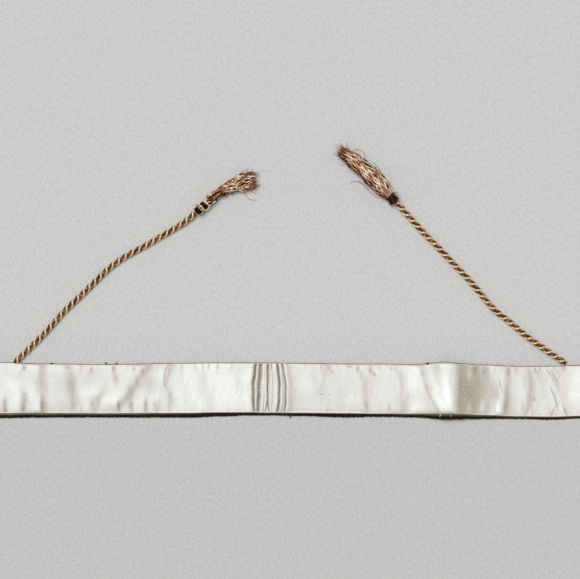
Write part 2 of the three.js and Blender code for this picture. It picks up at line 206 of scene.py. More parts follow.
FOLDS = (
    Fold(-362, -364, -361, 0.8, 10, 5),
    Fold(-343, -340, -342, 1.1, 12, 4),
    Fold(-318, -322, -324, 0.9, 9, 4, -OUTSIDE, 0.5),
    Fold(-303, -301, -298, 1.0, 10, 4),
    Fold(-288.5, -287.5, -286.5, 0.8, 6, 2.5, -OUTSIDE, -0.35),
    Fold(-273, -271.5, -269.5, 0.7, 7, 3, -OUTSIDE, 0.2),
    Fold(-265.5, -280.5, -295.5, 0.5, 4, 2, 0.5, OUTSIDE),
    Fold(-253, -251, -250, 1.5, 11, 3.6),
    Fold(-251, -250, -249.2, 0.5, 3, 1.8, -OUTSIDE, -0.4),
    Fold(-224, -222, -217, 1.4, 14, 6, -0.8, 0.95),
    Fold(-203, -204, -203, 0.5, 7, 4, 0.2, 1.0),
    Fold(-181, -190, -199.4, 0.9, 9, 3, -OUTSIDE, 0.0),
    Fold(-178.5, -176.5, -174.5, 0.7, 6, 2.6, -0.05, OUTSIDE),
    Fold(-172.4, -172.8, -172.2, 0.5, 2.5, 1.2, -OUTSIDE, -0.55),
    Fold(-145, -162, -179, 1.6, 10, 4.2, -0.75, OUTSIDE),
    Fold(-158, -159, -160, 0.4, 4, 1.6, -OUTSIDE, -0.6),
    Fold(-147, -146, -146, 0.9, 4, 2, -OUTSIDE, -0.4),
    Fold(-127.5, -131.5, -135.5, 0.6, 4, 2, -OUTSIDE, -0.5),
    Fold(-122.8, -123.9, -122.6, 0.35, 9, 4, -0.75, OUTSIDE),
    Fold(-122, -126.5, -131, 0.5, 3, 1.6, 0.25, OUTSIDE),
    Fold(-44, -46, -47, 0.5, 22, 5),
    Fold(-36.0, -39.3, -38.2, 0.8, 3.0, 1.3),
    Fold(-31.4, -33.9, -33.8, 1.0, 1.5, 1.5),
    Fold(-26.2, -26.8, -28.4, 0.6, 1.4, 1.6),
    Fold(-23.6, -23.9, -24.3, 0.6, 1.2, 0.8, -0.8, OUTSIDE),
    Fold(-20.0, -19.0, -20.6, 0.6, 1.2, 3.0),
    Fold(-14.6, -12.6, -14.6, 0.8, 2.4, 0.9),
    Fold(-10.4, -8.3, -10.4, 0.8, 1.0, 1.6),
    Fold(-5.9, -2.3, -4.3, 0.9, 1.1, 3.0),
    Fold(29.6, 29.6, 29.4, 0.7, 16, 4, -0.3, OUTSIDE),
    Fold(64.2, 70.1, 71.6, 0.9, 14, 3.4, -0.75, OUTSIDE),
    Fold(76, 90.3, 104.5, 0.6, 5, 2.5, 0.4, OUTSIDE),
    Fold(76, 76, 75.4, 0.4, 5, 2, -OUTSIDE, -0.6),
    Fold(71, 86, 101, 0.4, 4, 2, -OUTSIDE, -0.45),
    Fold(97.6, 110.6, 107.6, 1.2, 12, 4, -OUTSIDE, 0.85),
    Fold(127.5, 136.7, 145.9, 1.4, 14, 4.5),
    Fold(162, 163, 164.6, 2.5, 15, 9),
    Fold(183, 184, 184, 0.9, 3, 3, 0.25, OUTSIDE),
    Fold(193, 193.6, 194, 0.6, 2.2, 2, 0.55, OUTSIDE),
    Fold(182, 182, 182, 0.7, 2.5, 3, -OUTSIDE, -0.45),
    Fold(197, 195, 192.6, 0.7, 2.5, 3, -OUTSIDE, -0.45),
    Fold(209, 209.5, 209.5, 0.7, 3, 3, -OUTSIDE, -0.4),
    Fold(214.5, 213.4, 210.4, 0.8, 5, 3.2),
    Fold(235, 237.5, 230.5, 0.8, 8, 2.6),
    Fold(253.5, 268.5, 283.5, 0.4, 1.2, 1.0, 0.05, 0.9),
    Fold(251.6, 261, 270.4, 0.5, 1.2, 0.9, -0.55, 0.1),
    Fold(291.8, 274.4, 257, 0.5, 1.2, 1.0, -OUTSIDE, -0.45),
    Fold(258.3, 267.3, 276.3, 0.4, 1.2, 1.0, -OUTSIDE, -0.6),
    Fold(242, 254, 266, 0.4, 1.5, 1.2, 0.6, OUTSIDE),
    Fold(299, 302, 304, 0.9, 10, 5),
    Fold(322, 320, 321, 1.1, 12, 5),
    Fold(343, 347, 349, 0.9, 10, 4, -0.6, OUTSIDE),
    Fold(366, 365, 367, 0.8, 9, 4),
)

CREASES = (
    Crease(-33.4, -36.5, -35.4, 0.5, 0.95, 0.8),
    Crease(-28.6, -30.6, -32.0, 0.5, 1.4, 0.65),
    Crease(-21.8, -22.2, -22.4, 0.4, 0.6, 0.8, -0.75, OUTSIDE),
    Crease(-22.0, -22.0, -24.8, 0.3, 0.5, 0.7, -OUTSIDE, -0.65),
    Crease(-22.0, -22.4, -21.0, 0.3, 0.5, 0.7, -OUTSIDE, -0.7),
    Crease(-18.6, -19.4, -20.4, 0.3, 0.5, 0.8, 0.72, OUTSIDE),
    Crease(-12.6, -10.4, -12.8, 0.5, 0.65, 1.0),
    Crease(-8.0, -4.3, -6.0, 0.4, 0.6, 0.7),
    Crease(-121.3, -122.0, -95.0, 0.1, 1.3, 0.3, 0.05, OUTSIDE),
    Crease(-120.0, -120.6, -120.5, 0.05, 1.6, 0.12, -OUTSIDE, 0.0),
    Crease(129.0, 137.6, 148.0, 0.1, 2.3, 0.24),
    Crease(204.5, 213.0, 221.5, 0.15, 0.6, 0.35, 0.05, 0.5),
    Crease(259.0, 273.0, 287.0, 0.2, 0.5, 0.45, 0.3, 0.95),
    Crease(252.6, 262.2, 272.0, 0.2, 0.5, 0.4, -0.55, 0.1),
    Crease(290.4, 272.8, 255.4, 0.2, 0.5, 0.45, -OUTSIDE, -0.45),
    Crease(259.6, 268.6, 277.6, 0.2, 0.5, 0.45, -OUTSIDE, -0.6),
)

# Spots that darken and yellow the satin, or lighten it where the strength is below zero: column, row, width,
# reach and strength. The rows below zero are painted highlights on ridges and on broad bright stretches of
# the sheen.
STAIN_SHADE_AND_HIGHLIGHT_PIXELS = (
    (5, 404, 2.6, 7, 0.45), (5.5, 411, 1.5, 3, 0.4), (23, 408, 3, 5, 0.45), (25, 398, 3, 7, 0.3),
    (42, 405, 2, 7, 0.5), (40, 385, 4, 12, 0.2), (24.5, 368, 1.8, 3, 0.4), (70, 385, 5, 14, 0.25),
    (73, 405, 3, 8, 0.3), (68, 367.5, 2.5, 1.2, 0.4), (98, 399, 3.5, 4, 0.22), (93, 405, 3, 6, 0.36),
    (91.5, 370, 1.5, 3, 0.3), (113.5, 369, 1.8, 3, 0.4), (115.5, 378, 3, 5, 0.25),
    (134, 368.5, 1.5, 2.5, 0.35),
    (143, 371, 1.5, 4, 0.35), (137, 382, 3, 6, 0.3), (131, 392, 4, 7, 0.24), (121, 402, 3, 6, 0.2),
    (118.5, 406, 1.2, 4, 0.6), (130.8, 405, 3, 4, 0.35), (145.5, 405, 1.6, 6, 0.42), (155, 405, 2.4, 4, 0.25),
    (171, 397, 2.4, 7, 0.15), (208.5, 366.5, 1, 2, 0.3), (217, 366.5, 1, 2, 0.3),
    (321, 367, 1, 2, 0.35), (329, 367.5, 1, 1.5, 0.3), (332.5, 372, 0.8, 0.8, 0.4),
    (350, 366.5, 2.5, 1, 0.35),
    (357.5, 369, 1.2, 3, 0.45), (361, 376, 1.5, 4, 0.2), (364.5, 390, 1.5, 10, 0.05),
    (370, 371, 1.8, 2.5, 0.3),
    (374.5, 374.5, 1.5, 1.5, 0.3), (391.5, 369, 1.5, 2, 0.3), (389, 408, 2, 4, 0.25), (366, 406, 1.5, 4, 0.3),
    # The rows on this line and the next paint the shade on the first arch's far flank.
    (459.6, 391, 3.2, 32, 0.42), (466.5, 392, 6.5, 30, 0.45), (477, 392, 7, 22, 0.32),
    (486, 390, 6, 20, 0.16),
    (495, 394, 5, 12, 0.3), (474.5, 370, 2.5, 4, 0.35), (483, 371, 2.5, 3, 0.35), (468.5, 376, 1.6, 5, -0.25),
    (468.5, 408, 2, 5, -0.3), (482.5, 408, 2, 5, -0.3), (497.5, 408, 2, 5, -0.25), (490, 380, 4, 10, 0.08),
    (507, 398, 3, 13, 0.3), (508.5, 372, 2, 5, 0.4), (505, 406, 1.8, 5, 0.3), (527, 382, 4, 14, 0.14),
    (523, 407, 2.2, 5, 0.22), (534, 399, 2, 2, 0.4), (534.5, 371, 1.5, 2, 0.3), (563, 368, 2, 3, 0.3),
    (401.5, 392, 2, 22, 0.17), (515, 390, 4, 16, 0.1),
    (60, 385, 7, 16, 0.1), (27, 404, 7, 8, 0.15), (150, 384, 6, 9, 0.2), (104, 386, 8, 10, 0.12),
    (222, 390, 26, 40, -0.12), (262.4, 390, 1.0, 18, -0.3), (282.0, 390, 1.6, 20, -0.4),
    (412, 390, 8, 30, -0.14), (444, 390, 7, 30, -0.12), (576, 386, 10, 20, -0.12), (185, 390, 12, 30, -0.08),
)

PUCKERS = {
    Edge.UPPER: (
        Pucker(-236, 0.3, 2.0, 0.25), Pucker(-212, 0.3, 2.0, 0.25), Pucker(-164, 0.35, 2.0, 0.3),
        Pucker(-152, 0.3, 1.8, 0.25), Pucker(-110.5, 0.35, 2.2, 0.28), Pucker(-97, 0.25, 1.8, 0.2),
        Pucker(-88.5, 0.35, 2.0, 0.3), Pucker(-82, 0.3, 1.6, 0.24), Pucker(-73, 0.35, 2.0, 0.3),
        Pucker(-60, 0.2, 1.6, 0.2), Pucker(14, 0.25, 1.8, 0.2), Pucker(46, 0.3, 1.8, 0.25),
        Pucker(56, 0.3, 2.0, 0.22), Pucker(88, 0.3, 1.8, 0.22), Pucker(104, 0.3, 2.0, 0.25),
        Pucker(150, 0.25, 2.0, 0.2), Pucker(203, 0.4, 2.0, 0.28), Pucker(224, 0.35, 2.0, 0.26),
        Pucker(248, 0.3, 1.8, 0.22), Pucker(262, 0.3, 1.8, 0.22),
    ),
    Edge.LOWER: (
        Pucker(-232, 0.25, 2.0, 0.2), Pucker(-210, 0.3, 2.0, 0.25), Pucker(-90, 0.3, 2.4, 0.3),
        Pucker(-64, 0.2, 2.0, 0.2), Pucker(36, 0.2, 2.0, 0.2), Pucker(58, 0.25, 2.0, 0.25),
        Pucker(124, 0.25, 2.0, 0.22), Pucker(240, 0.3, 1.8, 0.25),
    ),
}

# The hems' outlines: share of the width in from the edge, height, and paleness. The paleness is high on the
# upward face of each roll and 0 on its lower side and underside: a painted highlight with some rubbing, and
# painted shade below.
LOWER_HEM = (
    (0.5, 0.0, 0.0), (0.2, 0.05, 0.0), (0.05, 0.2, 0.0), (0.0, 0.5, 0.0), (0.1, 1.0, 0.0), (0.3, 1.6, 0.0),
    (0.5, 2.0, 0.0), (0.62, 2.2, 0.25), (0.75, 2.3, 0.55), (0.88, 2.25, 0.75), (0.97, 2.05, 0.9),
    (1.0, 1.5, 0.5),
)

UPPER_HEM = (
    (0.5, 0.0, 0.0), (0.12, 0.3, 0.6), (0.0, 0.9, 0.9), (0.08, 1.6, 1.0), (0.3, 2.1, 1.0), (0.6, 2.3, 1.0),
    (0.88, 2.1, 0.9), (1.0, 1.6, 0.5),
)

CORD_ROUTES = {
    Side.LEFT: (
        (-275, 26.4), (-267.8, 33.6), (-253.4, 47.6), (-239.9, 61.6), (-227.8, 75.6), (-213.3, 89.6),
        (-198.8, 103.6), (-184.4, 117.6), (-175.6, 125), (-165.6, 132), (-152.6, 139.1), (-140.1, 146.1),
        (-128.1, 153.1), (-116.2, 160.1), (-105.2, 167.2), (-98.2, 173), (-95.1, 175.6),
    ),
    Side.RIGHT: (
        (275.2, 25.9), (267.7, 30.9), (260.7, 35.4), (253.7, 40.4), (239.7, 50.4), (232.7, 55.9),
        (218.7, 67.8),
        (204.7, 78.9), (197.7, 86.4), (190.7, 94.9), (176.7, 111.4), (162.7, 125.9), (148.7, 140.9),
        (134.7, 154.9), (120.7, 170.4), (109.6, 182.6), (106.9, 185.5),
    ),
}

TASSEL_ROUTES = {
    Side.LEFT: (
        (-94.8, 175.7), (-86.5, 183.1), (-79.5, 189.5), (-72.5, 194.5), (-65.5, 198.9), (-58.5, 202.5),
        (-51.5, 205.3), (-43.5, 207.5), (-32.5, 208.9),
    ),
    Side.RIGHT: (
        (106.2, 185.2), (100.2, 192.2), (90.7, 202.8), (80.2, 213.6), (70.2, 222.8), (60.2, 230.8),
        (47.7, 239.8),
    ),
}

SKIRTS = {
    Side.LEFT: (
        Section(14, 4.0, 4.0), Section(24, 4.4, 4.2), Section(30, 3.4, 3.8), Section(37, 4.6, 4.2),
        Section(46, 6.4, 4.6), Section(56, 8.6, 4.6), Section(64, 9.0, 4.4), Section(71, 8.0, 4.0),
    ),
    Side.RIGHT: (
        Section(9, 5.0, 4.4), Section(16, 7.0, 5.0), Section(27, 8.7, 5.2), Section(36, 9.0, 5.2),
        Section(46, 8.0, 5.0), Section(60, 7.9, 4.6), Section(69, 6.2, 4.2), Section(78, 4.2, 3.4),
    ),
}

HEAD_PROFILE = (
    (0.0, 1.8), (0.3, 2.8), (0.9, 3.5), (2.0, 4.4), (4.0, 4.9), (6.0, 4.9), (7.6, 4.7), (8.6, 4.4),
    (11.2, 4.3), (13.0, 4.3), (15.0, 4.1), (17.0, 2.8),
)

THREAD_LIES = {
    Side.LEFT: ThreadLie(26, 0.68, 0.5, 0.5, 5.0, 9.0, 1, 0, 0.36, 0.4),
    Side.RIGHT: ThreadLie(36, 0.5, 0.05, 0.3, 7.0, 13.0, 0, 1, -1.0, 0.05),
}

STRAY_PIXELS = {
    Side.LEFT: (
        ((240, 190.4), (243.5, 191.6), (246.5, 196.2), (249.8, 199.2), (256.5, 200.2)),
        ((246, 189), (249.8, 190.6), (254.6, 193), (259.4, 194)),
        ((244, 174.5), (247, 172.4), (248, 168)),
        ((249, 174), (251.5, 171.4), (253, 168.6)),
        ((238, 175.5), (243, 171.4), (247.5, 169.6)),
        ((252, 184), (256, 186.2), (259.6, 186)),
    ),
    Side.RIGHT: (
        ((347, 153), (342.5, 148.6), (338.6, 146), (334.6, 144.4)),
        ((349, 152), (346, 147.5), (347.4, 142.8)),
        ((351, 152), (348.8, 148.5), (346.6, 143.6)),
        ((352, 150.4), (358.7, 149.6), (363.4, 152), (365.4, 158)),
        ((373, 162.5), (376.5, 165.9), (379.4, 169.4), (381, 172.4)),
        ((350, 182.6), (352.6, 181.4), (358.2, 181.8), (364, 184.4)),
        ((358, 180), (361.4, 183.4), (368.5, 190.4), (373, 194.8), (379.4, 198.6)),
        ((346.5, 163), (343.4, 164.6), (340.6, 165)),
        ((344, 158.6), (341, 158), (337.4, 160)),
    ),
}

THREAD_END_PIXELS = (
    (52, 363.6, 0.0), (106, 363.2, 0.0), (116.4, 363.4, 0.4), (427.4, 363.4, 0.0), (290, 416.8, 0.0),
    (440, 415.2, 1.0), (450.6, 415.4, 0.8),
)

SLUB_PIXELS = (
    ((319.6, 394.4), (321.4, 394.2), (323.4, 394.4)), ((327.6, 394.2), (329.2, 394.5), (330.8, 394.2)),
    ((328.4, 399.2), (328.9, 399.6), (329.4, 400.2)), ((328.6, 402.4), (329.2, 402.7), (329.8, 402.7)),
    ((328.6, 405.2), (329.0, 405.6), (329.2, 406.1)), ((329.6, 409.6), (330.2, 409.8), (330.8, 409.6)),
    ((345.6, 386.8), (346.2, 387.1), (346.8, 387.0)), ((332.0, 371.8), (332.6, 372.2), (333.2, 372.4)),
    ((524.2, 384.4), (524.6, 384.8), (524.8, 385.4)),
)


# Arrays and meshes


def eased(at: Array, places: Array, values: Array) -> Array:
    """Reads a table between its rows: low + (high - low) * (3 t^2 - 2 t^3), t from row to row.

    Args:
        at: where to read.
        places: the rows' places, rising.
        values: the rows' values.

    Returns:
        The eased values, held level past both ends.
    """
    after = np.clip(np.searchsorted(places, at), 1, len(places) - 1)
    share = np.clip((at - places[after - 1]) / (places[after] - places[after - 1]), 0, 1)
    low, high = values[after - 1], values[after]
    return low + (high - low) * share * share * (3 - 2 * share)


def ramp(low: float, high: float, at: Array) -> Array:
    """Rises from 0 at low to 1 at high as 3 t^2 - 2 t^3."""
    share = np.clip((at - low) / (high - low), 0, 1)
    return share * share * (3 - 2 * share)


def bell(at: Array, width: Array | float) -> Array:
    """Peaks at 1 where at is 0 and falls off on both sides as exp(-t^2), with t = at / width."""
    return np.exp(-((at / width) ** 2))


def from_photo(pixels: Array) -> tuple[Array, Array]:
    """Turns the photograph's columns and rows into X and Y on the surface, a millimetre to each pixel."""
    return pixels[..., 0] - PHOTO_WIDTH / 2, ORIGIN_ROW - pixels[..., 1]


def waves(at: Array, lengths: tuple[float, ...], seed: int) -> Array:
    """Adds one sine for each wavelength, each with its own phase, for a smooth uneven line.

    Args:
        at: places along the line.
        lengths: the wavelengths.
        seed: picks the phases.

    Returns:
        Values from about -1 to 1.
    """
    phases = np.random.default_rng(seed).uniform(0, TURN, len(lengths))
    return sum(np.sin(TURN * at / n + p) for n, p in zip(lengths, phases)) / len(lengths)


def smooth_path(points: Array, step: float) -> Array:
    """Runs a smooth curve through points: cubic pieces whose slope at a point is that of its neighbours.

    Args:
        points: the points to pass through.
        step: the distance between the points of the result.

    Returns:
        Points at even distances along the curve, from the first point to the last.
    """
    chord = np.concatenate([[0], np.cumsum(np.linalg.norm(np.diff(points, axis=0), axis=1))])
    slopes = np.gradient(points, chord, axis=0)
    fine = np.linspace(0, chord[-1], 40 * len(points))
    after = np.clip(np.searchsorted(chord, fine), 1, len(chord) - 1)
    span = (chord[after] - chord[after - 1])[:, None]
    t = (fine[:, None] - chord[after - 1][:, None]) / span
    start, end = points[after - 1], points[after]
    leave, arrive = slopes[after - 1] * span, slopes[after] * span
    curve = (
        (2 * t**3 - 3 * t**2 + 1) * start + (t**3 - 2 * t**2 + t) * leave
        + (3 * t**2 - 2 * t**3) * end + (t**3 - t**2) * arrive
    )
    along = np.concatenate([[0], np.cumsum(np.linalg.norm(np.diff(curve, axis=0), axis=1))])
    even = np.linspace(0, along[-1], max(2, int(round(along[-1] / step)) + 1))
    return np.stack([np.interp(even, along, curve[:, i]) for i in range(3)], axis=1)


def frames(path: Array) -> tuple[Array, Array, Array]:
    """Gives each point of a path its heading, its level left side, and the up that is square to both.

    Args:
        path: points, along the second last axis.

    Returns:
        Heading, side and up, with side x up = heading.
    """
    heading = np.gradient(path, axis=-2)
    heading = heading / np.linalg.norm(heading, axis=-1, keepdims=True)
    side = np.stack([-heading[..., 1], heading[..., 0], np.zeros(heading.shape[:-1])], axis=-1)
    side = side / np.linalg.norm(side, axis=-1, keepdims=True)
    return heading, side, np.cross(heading, side)


@dataclass
class Shape:
    """A mesh as whole arrays: points, faces as runs of corners, and a value pair for each corner."""

    points: Array
    corners: Array
    starts: Array
    uv: Array
    marks: dict[str, Array] = field(default_factory=dict)

    def joined(self, other: "Shape") -> "Shape":
        """Puts two shapes that carry the same marks into one."""
        return Shape(
            np.concatenate([self.points, other.points]),
            np.concatenate([self.corners, other.corners + len(self.points)]),
            np.concatenate([self.starts, other.starts + len(self.corners)]),
            np.concatenate([self.uv, other.uv]),
            {key: np.concatenate([self.marks[key], other.marks[key]]) for key in self.marks},
        )

    def build(self, name: str) -> bpy.types.Object:
        """Makes the mesh object, smooth shaded, in metres at the origin.

        Args:
            name: the piece's name.

        Returns:
            The object, linked to the scene.
        """
        mesh = bpy.data.meshes.new(name)
        mesh.vertices.add(len(self.points))
        mesh.vertices.foreach_set("co", (self.points * METRES).astype(np.float32).ravel())
        mesh.loops.add(len(self.corners))
        mesh.loops.foreach_set("vertex_index", self.corners.astype(np.int32))
        mesh.polygons.add(len(self.starts))
        mesh.polygons.foreach_set("loop_start", self.starts.astype(np.int32))
        mesh.update(calc_edges=True)
        mesh.uv_layers.new(name="UVMap").data.foreach_set("uv", self.uv.astype(np.float32).ravel())
        for key, values in self.marks.items():
            mark = mesh.attributes.new(key, "FLOAT", "POINT")
            mark.data.foreach_set("value", values.astype(np.float32))
        mesh.shade_smooth()
        piece = bpy.data.objects.new(name, mesh)
        bpy.context.scene.collection.objects.link(piece)
        return piece


def tubes(rings: Array, along: Array) -> Shape:
    """Joins rings of points into closed tubes: four-sided faces between rings, a flat face at each end.

    Args:
        rings: tube, ring, point of the ring, and x, y, z. A ring turns left as seen from its tube's far end.
        along: tube and ring, the distance along the tube, which the first of the corner values holds.

    Returns:
        The shape, whose corner values are the distance along and the share of the way round.
    """
    count, steps, sides, _ = rings.shape
    index = np.arange(count * steps * sides).reshape(count, steps, sides)
    turned = np.roll(index, -1, axis=2)
    quads = np.stack([index[:, :-1], turned[:, :-1], turned[:, 1:], index[:, 1:]], axis=-1)
    ends = np.stack([index[:, 0, ::-1], index[:, -1]], axis=1)
    sideways = np.broadcast_to(np.arange(sides) / sides, (count, steps - 1, sides))
    near = np.broadcast_to(along[:, :-1, None], sideways.shape)
    far = np.broadcast_to(along[:, 1:, None], sideways.shape)
    right = sideways + 1 / sides
    uv = np.stack(
        [np.stack([near, near, far, far], axis=-1), np.stack([sideways, right, right, sideways], axis=-1)],
        axis=-1,
    )
    flat = quads.size
    return Shape(
        rings.reshape(-1, 3),
        np.concatenate([quads.ravel(), ends.ravel()]),
        np.concatenate([np.arange(0, flat, 4), flat + sides * np.arange(2 * count)]),
        np.concatenate([uv.reshape(-1, 2), np.zeros((ends.size, 2))]),
    )


def round_tubes(
    paths: Array, radii: Array, sides: int, marks: dict[str, Array], square: tuple[Array, Array] | None = None
) -> Shape:
    """Carries a circle along each path: centre + radius * (cos a * side + sin a * up).

    Args:
        paths: tube, point and x, y, z.
        radii: tube and point.
        sides: points in the circle.
        marks: values for each point of each tube, by name.
        square: side and up, where they aren't the level side and the up of the path itself.

    Returns:
        The tubes as one shape.
    """
    side, up = square or frames(paths)[1:]
    angle = TURN * np.arange(sides) / sides
    ring = np.cos(angle)[:, None] * side[..., None, :] + np.sin(angle)[:, None] * up[..., None, :]
    rings = paths[..., None, :] + radii[..., None, None] * ring
    gaps = np.linalg.norm(np.diff(paths, axis=1), axis=2)
    along = np.concatenate([np.zeros((len(paths), 1)), np.cumsum(gaps, axis=1)], axis=1)
    made = tubes(rings, along)
    for key, values in marks.items():
        made.marks[key] = np.broadcast_to(values[..., None], rings.shape[:3]).ravel()
    return made


# Finishes


@dataclass
class Graph:
    """A shader node tree, with short calls that add nodes and join them."""

    tree: bpy.types.NodeTree

    def feed(self, target: bpy.types.Node, inputs: dict) -> None:
        """Fills a node's inputs.

        Args:
            target: the node.
            inputs: a value, or another node's output, for each input by name or place.
        """
        for key, value in inputs.items():
            if isinstance(value, bpy.types.NodeSocket):
                self.tree.links.new(value, target.inputs[key])
            else:
                target.inputs[key].default_value = value

    def node(self, kind: str, inputs: dict | None = None, **settings: object) -> bpy.types.Node:
        """Adds a node.

        Args:
            kind: Blender's name for the node.
            inputs: what its inputs are filled with.
            settings: the node's own options.

        Returns:
            The node.
        """
        made = self.tree.nodes.new(kind)
        for key, value in settings.items():
            setattr(made, key, value)
        self.feed(made, inputs or {})
        return made

    def math(self, operation: str, first: object, second: object = 0.0) -> bpy.types.NodeSocket:
        """Adds one step of arithmetic and gives its result."""
        return self.node("ShaderNodeMath", {0: first, 1: second}, operation=operation).outputs[0]

    def blend(self, share: object, first: object, second: object) -> bpy.types.NodeSocket:
        """Mixes two colours by a share from 0 to 1."""
        inputs = {0: share, 6: first, 7: second}
        return self.node("ShaderNodeMix", inputs, data_type="RGBA").outputs[2]

    def between(
        self, value: object, low: float, high: float, to_low: float, to_high: float
    ) -> bpy.types.NodeSocket:
        """Maps a value from one range to another, and holds it at the ends."""
        inputs = {0: value, 1: low, 2: high, 3: to_low, 4: to_high}
        return self.node("ShaderNodeMapRange", inputs, clamp=True).outputs[0]

    def noise(self, vector: object, scale: object, detail: float = 2.0) -> bpy.types.NodeSocket:
        """Adds smooth noise and gives its value."""
        inputs = {"Vector": vector, "Scale": scale, "Detail": detail}
        return self.node("ShaderNodeTexNoise", inputs).outputs[0]

    def stretched(self, vector: object, scale: tuple[float, float, float]) -> bpy.types.NodeSocket:
        """Scales a pattern's coordinates by axis."""
        return self.node("ShaderNodeMapping", {"Vector": vector, "Scale": scale}).outputs[0]

    def mark(self, name: str) -> bpy.types.NodeSocket:
        """Reads a value that the mesh holds for each point."""
        return self.node("ShaderNodeAttribute", attribute_name=name).outputs["Fac"]

    def bump(self, height: object, strength: float, distance: float) -> bpy.types.NodeSocket:
        """Tilts the surface by a height and gives its normal."""
        inputs = {"Height": height, "Strength": strength, "Distance": distance}
        return self.node("ShaderNodeBump", inputs).outputs[0]


def opaque(colour: Colour) -> tuple[float, float, float, float]:
    """Adds full opacity to a colour."""
    return (*colour, 1.0)


def new_material(name: str) -> tuple[bpy.types.Material, Graph, bpy.types.Node]:
    """Makes an empty material.

    Args:
        name: the finish's name.

    Returns:
        The material, its node graph and its Principled shader.
    """
    material = bpy.data.materials.new(name)
    material.use_nodes = True
    graph = Graph(material.node_tree)
    return material, graph, material.node_tree.nodes["Principled BSDF"]


FLOAT = "NodeSocketFloat"
VECTOR = "NodeSocketVector"


def new_group(
    name: str, inputs: dict[str, tuple[str, object]], outputs: tuple[str, ...]
) -> tuple[Graph, dict[str, bpy.types.NodeSocket], bpy.types.Node]:
    """Makes an empty shader node group with named sockets.

    Args:
        name: the effect's name.
        inputs: each input's socket kind and value.
        outputs: the names of the values that it gives.

    Returns:
        The group's graph, its inputs by name, and its output node.
    """
    tree = bpy.data.node_groups.new(name, "ShaderNodeTree")
    for key, (kind, value) in inputs.items():
        socket = tree.interface.new_socket(key, in_out="INPUT", socket_type=kind)
        if value is not None:
            socket.default_value = value
    for key in outputs:
        tree.interface.new_socket(key, in_out="OUTPUT", socket_type=FLOAT)
    graph = Graph(tree)
    source = graph.node("NodeGroupInput")
    return graph, {key: source.outputs[key] for key in inputs}, graph.node("NodeGroupOutput")


def weave_group() -> bpy.types.NodeTree:
    """Woven threads: fine lines along X crossed by finer ones along Y, and slow uneven patches.

    Returns:
        A group whose Height lifts the threads and whose Patch varies slowly from 0 to 1.
    """
    inputs = {"Vector": (VECTOR, None), "Threads": (FLOAT, 1800.0), "Patches": (FLOAT, 30.0)}
    graph, given, target = new_group("weave", inputs, ("Height", "Patch"))
    warp = graph.noise(graph.stretched(given["Vector"], (0.04, 1.0, 0.04)), given["Threads"], 2.0)
    weft = graph.noise(graph.stretched(given["Vector"], (1.0, 0.08, 0.08)), given["Threads"], 1.0)
    height = graph.math("ADD", graph.math("MULTIPLY", warp, 0.7), graph.math("MULTIPLY", weft, 0.3))
    graph.feed(target, {"Height": height, "Patch": graph.noise(given["Vector"], given["Patches"], 4.0)})
    return graph.tree


def twist_group() -> bpy.types.NodeTree:
    """Spun threads: ridges that wind round a strand, wave(turns * way round + along / lay).

    Returns:
        A group whose Ridge is 1 on a thread and 0 between threads, and whose Fleck varies along it.
    """
    inputs = {"UV": (VECTOR, None), "Turns": (FLOAT, 5.0), "Lay": (FLOAT, 3.0)}
    graph, given, target = new_group("twist", inputs, ("Ridge", "Fleck"))
    along, around, _ = graph.node("ShaderNodeSeparateXYZ", {0: given["UV"]}).outputs
    along = graph.math("DIVIDE", along, given["Lay"])
    turned = graph.math("ADD", graph.math("MULTIPLY", around, given["Turns"]), along)
    wave = graph.math("SINE", graph.math("MULTIPLY", turned, TURN))
    ridge = graph.math("POWER", graph.between(wave, -1.0, 1.0, 0.0, 1.0), 0.6)
    graph.feed(target, {"Ridge": ridge, "Fleck": graph.noise(given["UV"], 0.9)})
    return graph.tree


